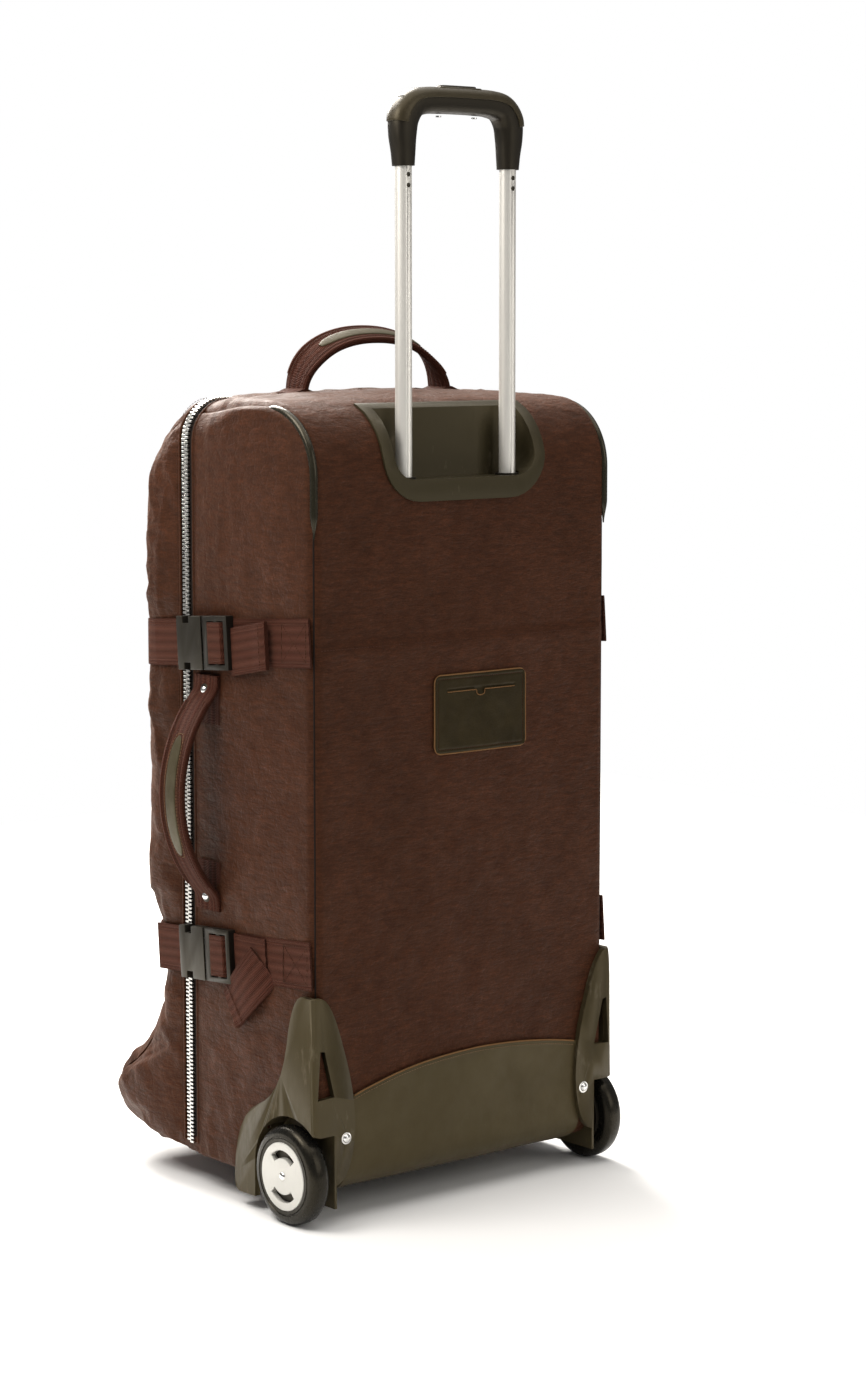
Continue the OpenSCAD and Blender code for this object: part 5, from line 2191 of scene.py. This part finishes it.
@dataclass
class Trolley:
    """Pull handle with its bezel, tubes, grip and lock."""

    finishes: Finishes
    tube_round: float = 8.0
    tube_x: float = 64.75
    tube_y: float = -146.0
    half_arch: tuple[tuple[float, float, float, float], ...] = ((-64.75, 996.0, 19.0, 20.0),
        (-65.1, 1010.0, 21.5, 21.5), (-65.8, 1026.0, 25.0, 24.0), (-64.0, 1041.0, 27.0, 25.5),
        (-55.0, 1052.6, 25.5, 26.0), (-40.0, 1056.6, 24.0, 26.0), (-20.0, 1057.4, 23.5, 26.0),
        (0.0, 1057.6, 23.5, 26.0))

    def _arch(self) -> list[tuple[Vector, Vector, float, float]]:
        """Middle line of the grip with its outward direction, its height and its depth."""
        rows = [Vector(row) for row in self.half_arch]
        rows += [Vector((-r[0], r[1], r[2], r[3])) for r in reversed(self.half_arch[:-1])]
        fine = soft_curve(rows, 8)
        out = []
        for i, row in enumerate(fine):
            a, b = fine[max(i - 1, 0)], fine[min(i + 1, len(fine) - 1)]
            run = Vector((b[0] - a[0], b[1] - a[1])).normalized()
            out.append((Vector((row[0], self.tube_y, row[1])), Vector((-run.y, 0, run.x)), row[2], row[3]))
        return out

    def grip(self) -> None:
        """Black core and legs under an olive cover."""
        f = self.finishes
        arch = self._arch()
        core = webbing_strip("grip_core", [Station(at, Vector((0, 1, 0)), out, depth, tall) for at, out,
            tall, depth in arch], 32, 0.72)
        dress(core, f.black, "trolley", ["grip_lower"])
        part = arch[21:-21]
        last = len(part) - 1

        def place(u: float, v: float) -> Vector:
            """Point of the cover."""
            at, out, tall, depth = part[round(u * last)]
            near = min(u, 1.0 - u) * last
            angle = math.radians(8.0 + 164.0 * v)
            c, s = math.cos(angle), math.sin(angle)
            grow = 1.1 + 0.3 * ease(near / 3.0)
            wide = math.copysign(abs(c) ** 0.72, c) * (depth / 2 + grow)
            high = abs(s) ** 0.72 * (tall / 2 + grow)
            return at + Vector((0, 1, 0)) * wide + out * high

        cover = sheet_mesh("grip_cover", last, 30, place, flip=True)
        modify(cover, "SOLIDIFY", thickness=2.0 * MM, offset=-1.0)
        modify(cover, "BEVEL", width=0.0005, segments=2, limit_method="ANGLE", angle_limit=math.radians(50))
        smooth(cover, 50.0)
        dress(cover, f.olive_grip, "trolley", ["grip_upper"])
        button = cad_copy("grip_button", "push_button", 1.3, 3)
        dress(button, f.black, "button", ["push_button"])
        seat = block_mesh("button_seat", (-25.5, self.tube_y - 8.4, 1067.0),
            (25.5, self.tube_y + 8.4, 1070.9), 1.6, 3)
        smooth(seat, 40.0)
        dress(seat, f.olive_grip, "trolley")

    def tubes(self) -> None:
        """Outer and sliding tubes with rivets, bushings and the lock inside."""
        f = self.finishes
        tubes = cad_copy("pull_tubes", "inner_tubes", 0.0)
        dress(tubes, f.tube, "trolley", ["inner_tubes"])
        for side in Side:
            for i, drop in enumerate((8.0, 18.0)):
                x = side.value * self.tube_x
                rivet = lathe(f"tube_rivet_{side.letter}{i + 1}",
                    [(0, 0.05), (1.7, 0.05), (2.3, 0.0), (2.6, -0.5), (2.6, -1.6), (0, -1.6)], 20, "Y",
                    (x, self.tube_y - self.tube_round, 996.0 - drop), True)
                for point in rivet.data.vertices:
                    away = point.co.x / MM - x
                    point.co.y += (self.tube_round - math.sqrt(self.tube_round ** 2 - away ** 2)) * MM
                smooth(rivet, 50.0)
                dress(rivet, f.buckle, "trolley", ["grip_rivets"] if i == 0
                    and side is Side.LEFT else [])
        for node, material in (("outer_tube_l", f.tube), ("outer_tube_r", f.tube),
                ("tube_bushings", f.black), ("tube_foot", f.black), ("lock_plugs", f.black),
                ("button_yoke", f.steel), ("lock_pin_l", f.steel), ("lock_pin_r", f.steel),
                ("grip_screws", f.steel), ("bezel_screws", f.steel)):
            keep(node, material)

    def bezel(self) -> None:
        """Moulded cup with a worn rim."""
        piece = cad_copy("handle_cup", "trolley_bezel", 1.5, 3, 35.0)
        dress(piece, self.finishes.olive_cup, "rear_body", ["trolley_bezel"])

    def build(self) -> None:
        """Builds the whole handle."""
        self.grip()
        self.tubes()
        self.bezel()


def keep(node: str, material: bpy.types.Material) -> None:
    """Gives a CAD node that stays a better finish.

    Args:
        node: Name of the node.
        material: Its finish.
    """
    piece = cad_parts[node]
    if not piece.material_slots:
        piece.data.materials.append(material)
    for slot in piece.material_slots:
        slot.material = material
    LOG.info("%s kept", node)


@dataclass
class Inside:
    """Boards, frame and lining that the open case shows."""

    finishes: Finishes
    zipper: MainZip

    def build(self) -> None:
        """Dresses the inner pieces."""
        f = self.finishes
        for name, node, bevel, material, slot in (("back_stiffener", "back_board", 0.5, f.board,
                "frame_board"), ("divider_lining", "lining_panel", 0.3, f.lining, "lining"),
                ("floor_tray", "base_tray", 1.2, f.board, "frame_board")):
            dress(cad_copy(name, node, bevel), material, "rear_body", [node])
        route = Outline(self.zipper.route(7.5))
        points = [Vector((route.at(i / 160).x, 28.0, route.at(i / 160).y)) for i in range(161)]
        wire = tube_along("wire_frame", points, [2.0] * 161, 10)
        smooth(wire, 80.0)
        dress(wire, f.steel, "rear_body", ["edge_frame"])


@dataclass
class ZipSlider:
    """Slider of the main zip and its pull."""

    finishes: Finishes

    def build(self) -> None:
        """Dresses the slider and the pull."""
        dress(cad_copy("main_slider", "zip_slider", 0.9, 3), self.finishes.zip_metal, "zip_slider",
            ["zip_slider"])
        dress(cad_copy("main_pull", "zip_pull", 0.6, 2), self.finishes.steel, "zip_pull",
            ["zip_pull"])


# ---------------------------------------------------------------- studio


@dataclass
class Studio:
    """White room with soft light, and the camera."""

    eye: tuple[float, float, float] = (-1.9023, -2.4007, 0.8598)
    pitch: float = 83.735
    heading: float = -39.7265
    lens: float = 79.65
    shift_y: float = -0.0324
    room_light: float = 0.25

    def camera(self) -> None:
        """Places the camera."""
        data = bpy.data.cameras.new("view")
        data.lens, data.sensor_width, data.shift_y = self.lens, 36.0, self.shift_y
        data.clip_end = 60.0
        eye = bpy.data.objects.new("view", data)
        eye.location = self.eye
        eye.rotation_euler = (math.radians(self.pitch), 0.0, math.radians(self.heading))
        bpy.context.scene.collection.objects.link(eye)
        bpy.context.scene.camera = eye

    def lamp(self, name: str, at: Sequence[float], size: float, watts: float) -> None:
        """Adds a square soft light that faces the case.

        Args:
            name: Name of the lamp.
            at: Place, in metres.
            size: Edge, in metres.
            watts: Power.
        """
        data = bpy.data.lights.new(name, "AREA")
        data.energy, data.size, data.color = watts, size, (1.0, 0.965, 0.92)
        lamp = bpy.data.objects.new(name, data)
        lamp.location = at
        lamp.rotation_euler = (Vector((0, 0, 0.45)) - Vector(at)).to_track_quat("-Z", "Y").to_euler()
        bpy.context.scene.collection.objects.link(lamp)

    def build(self) -> None:
        """Makes the room."""
        scene = bpy.context.scene
        world = bpy.data.worlds.new("white_room")
        world.use_nodes = True
        links, nodes = world.node_tree.links, world.node_tree.nodes
        seen, room = nodes["Background"], nodes.new("ShaderNodeBackground")
        seen.inputs["Color"].default_value = room.inputs["Color"].default_value = (1.0, 1.0, 1.0, 1.0)
        seen.inputs["Strength"].default_value, room.inputs["Strength"].default_value = 1.0, self.room_light
        ray, blend = nodes.new("ShaderNodeLightPath"), nodes.new("ShaderNodeMixShader")
        links.new(ray.outputs["Is Camera Ray"], blend.inputs[0])
        links.new(room.outputs[0], blend.inputs[1])
        links.new(seen.outputs[0], blend.inputs[2])
        links.new(blend.outputs[0], nodes["World Output"].inputs["Surface"])
        scene.world = world
        scene.view_settings.view_transform = "Standard"
        self.camera()
        self.lamp("key", (-1.0, 0.15, 1.45), 0.7, 15.0)
        self.lamp("fill", (0.9, -3.0, 1.7), 2.0, 26.0)
        self.lamp("rim", (0.3, 1.6, 2.0), 1.3, 125.0)
        self.lamp("top", (0.0, 0.0, 3.8), 5.0, 160.0)
        bpy.ops.object.select_all(action="DESELECT")
        bpy.ops.mesh.primitive_plane_add(size=4.0)
        floor = bpy.context.active_object
        floor.name = "floor"
        book = NodeBook("floor_paper")
        tint = book.ramp(book.noise(book.place(), 3.0), [(0.3, (0.90, 0.90, 0.895)),
            (0.7, (0.92, 0.92, 0.915))])
        book.set(Roughness=0.8)
        floor.data.materials.append(book.finish(tint))


def main() -> None:
    """Builds the case from its frame outwards."""
    logging.basicConfig(level=logging.INFO, format="%(name)s %(message)s")
    Studio().build()
    size, finishes = CaseSize.read(), Finishes()
    rear = RearShell(size, finishes)
    lid = Lid(size, finishes)
    rear.build()
    lid.build()
    zipper = MainZip(size, finishes)
    zipper.build()
    zipper.hinge()
    FrontPocket(finishes, lid, "upper").build()
    FrontPocket(finishes, lid, "lower", low=196.0, high=318.0, corner=12.0, zip_z=324.0).build()
    SideStraps(size, finishes).build()
    handles = CarryHandles(size, finishes)
    handles.side_handle()
    handles.top_handle()
    BackTrim(size, finishes, rear).build()
    Undercarriage(finishes).build()
    Trolley(finishes).build()
    Inside(finishes, zipper).build()
    ZipSlider(finishes).build()
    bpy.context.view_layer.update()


if __name__ == "__main__":
    main()
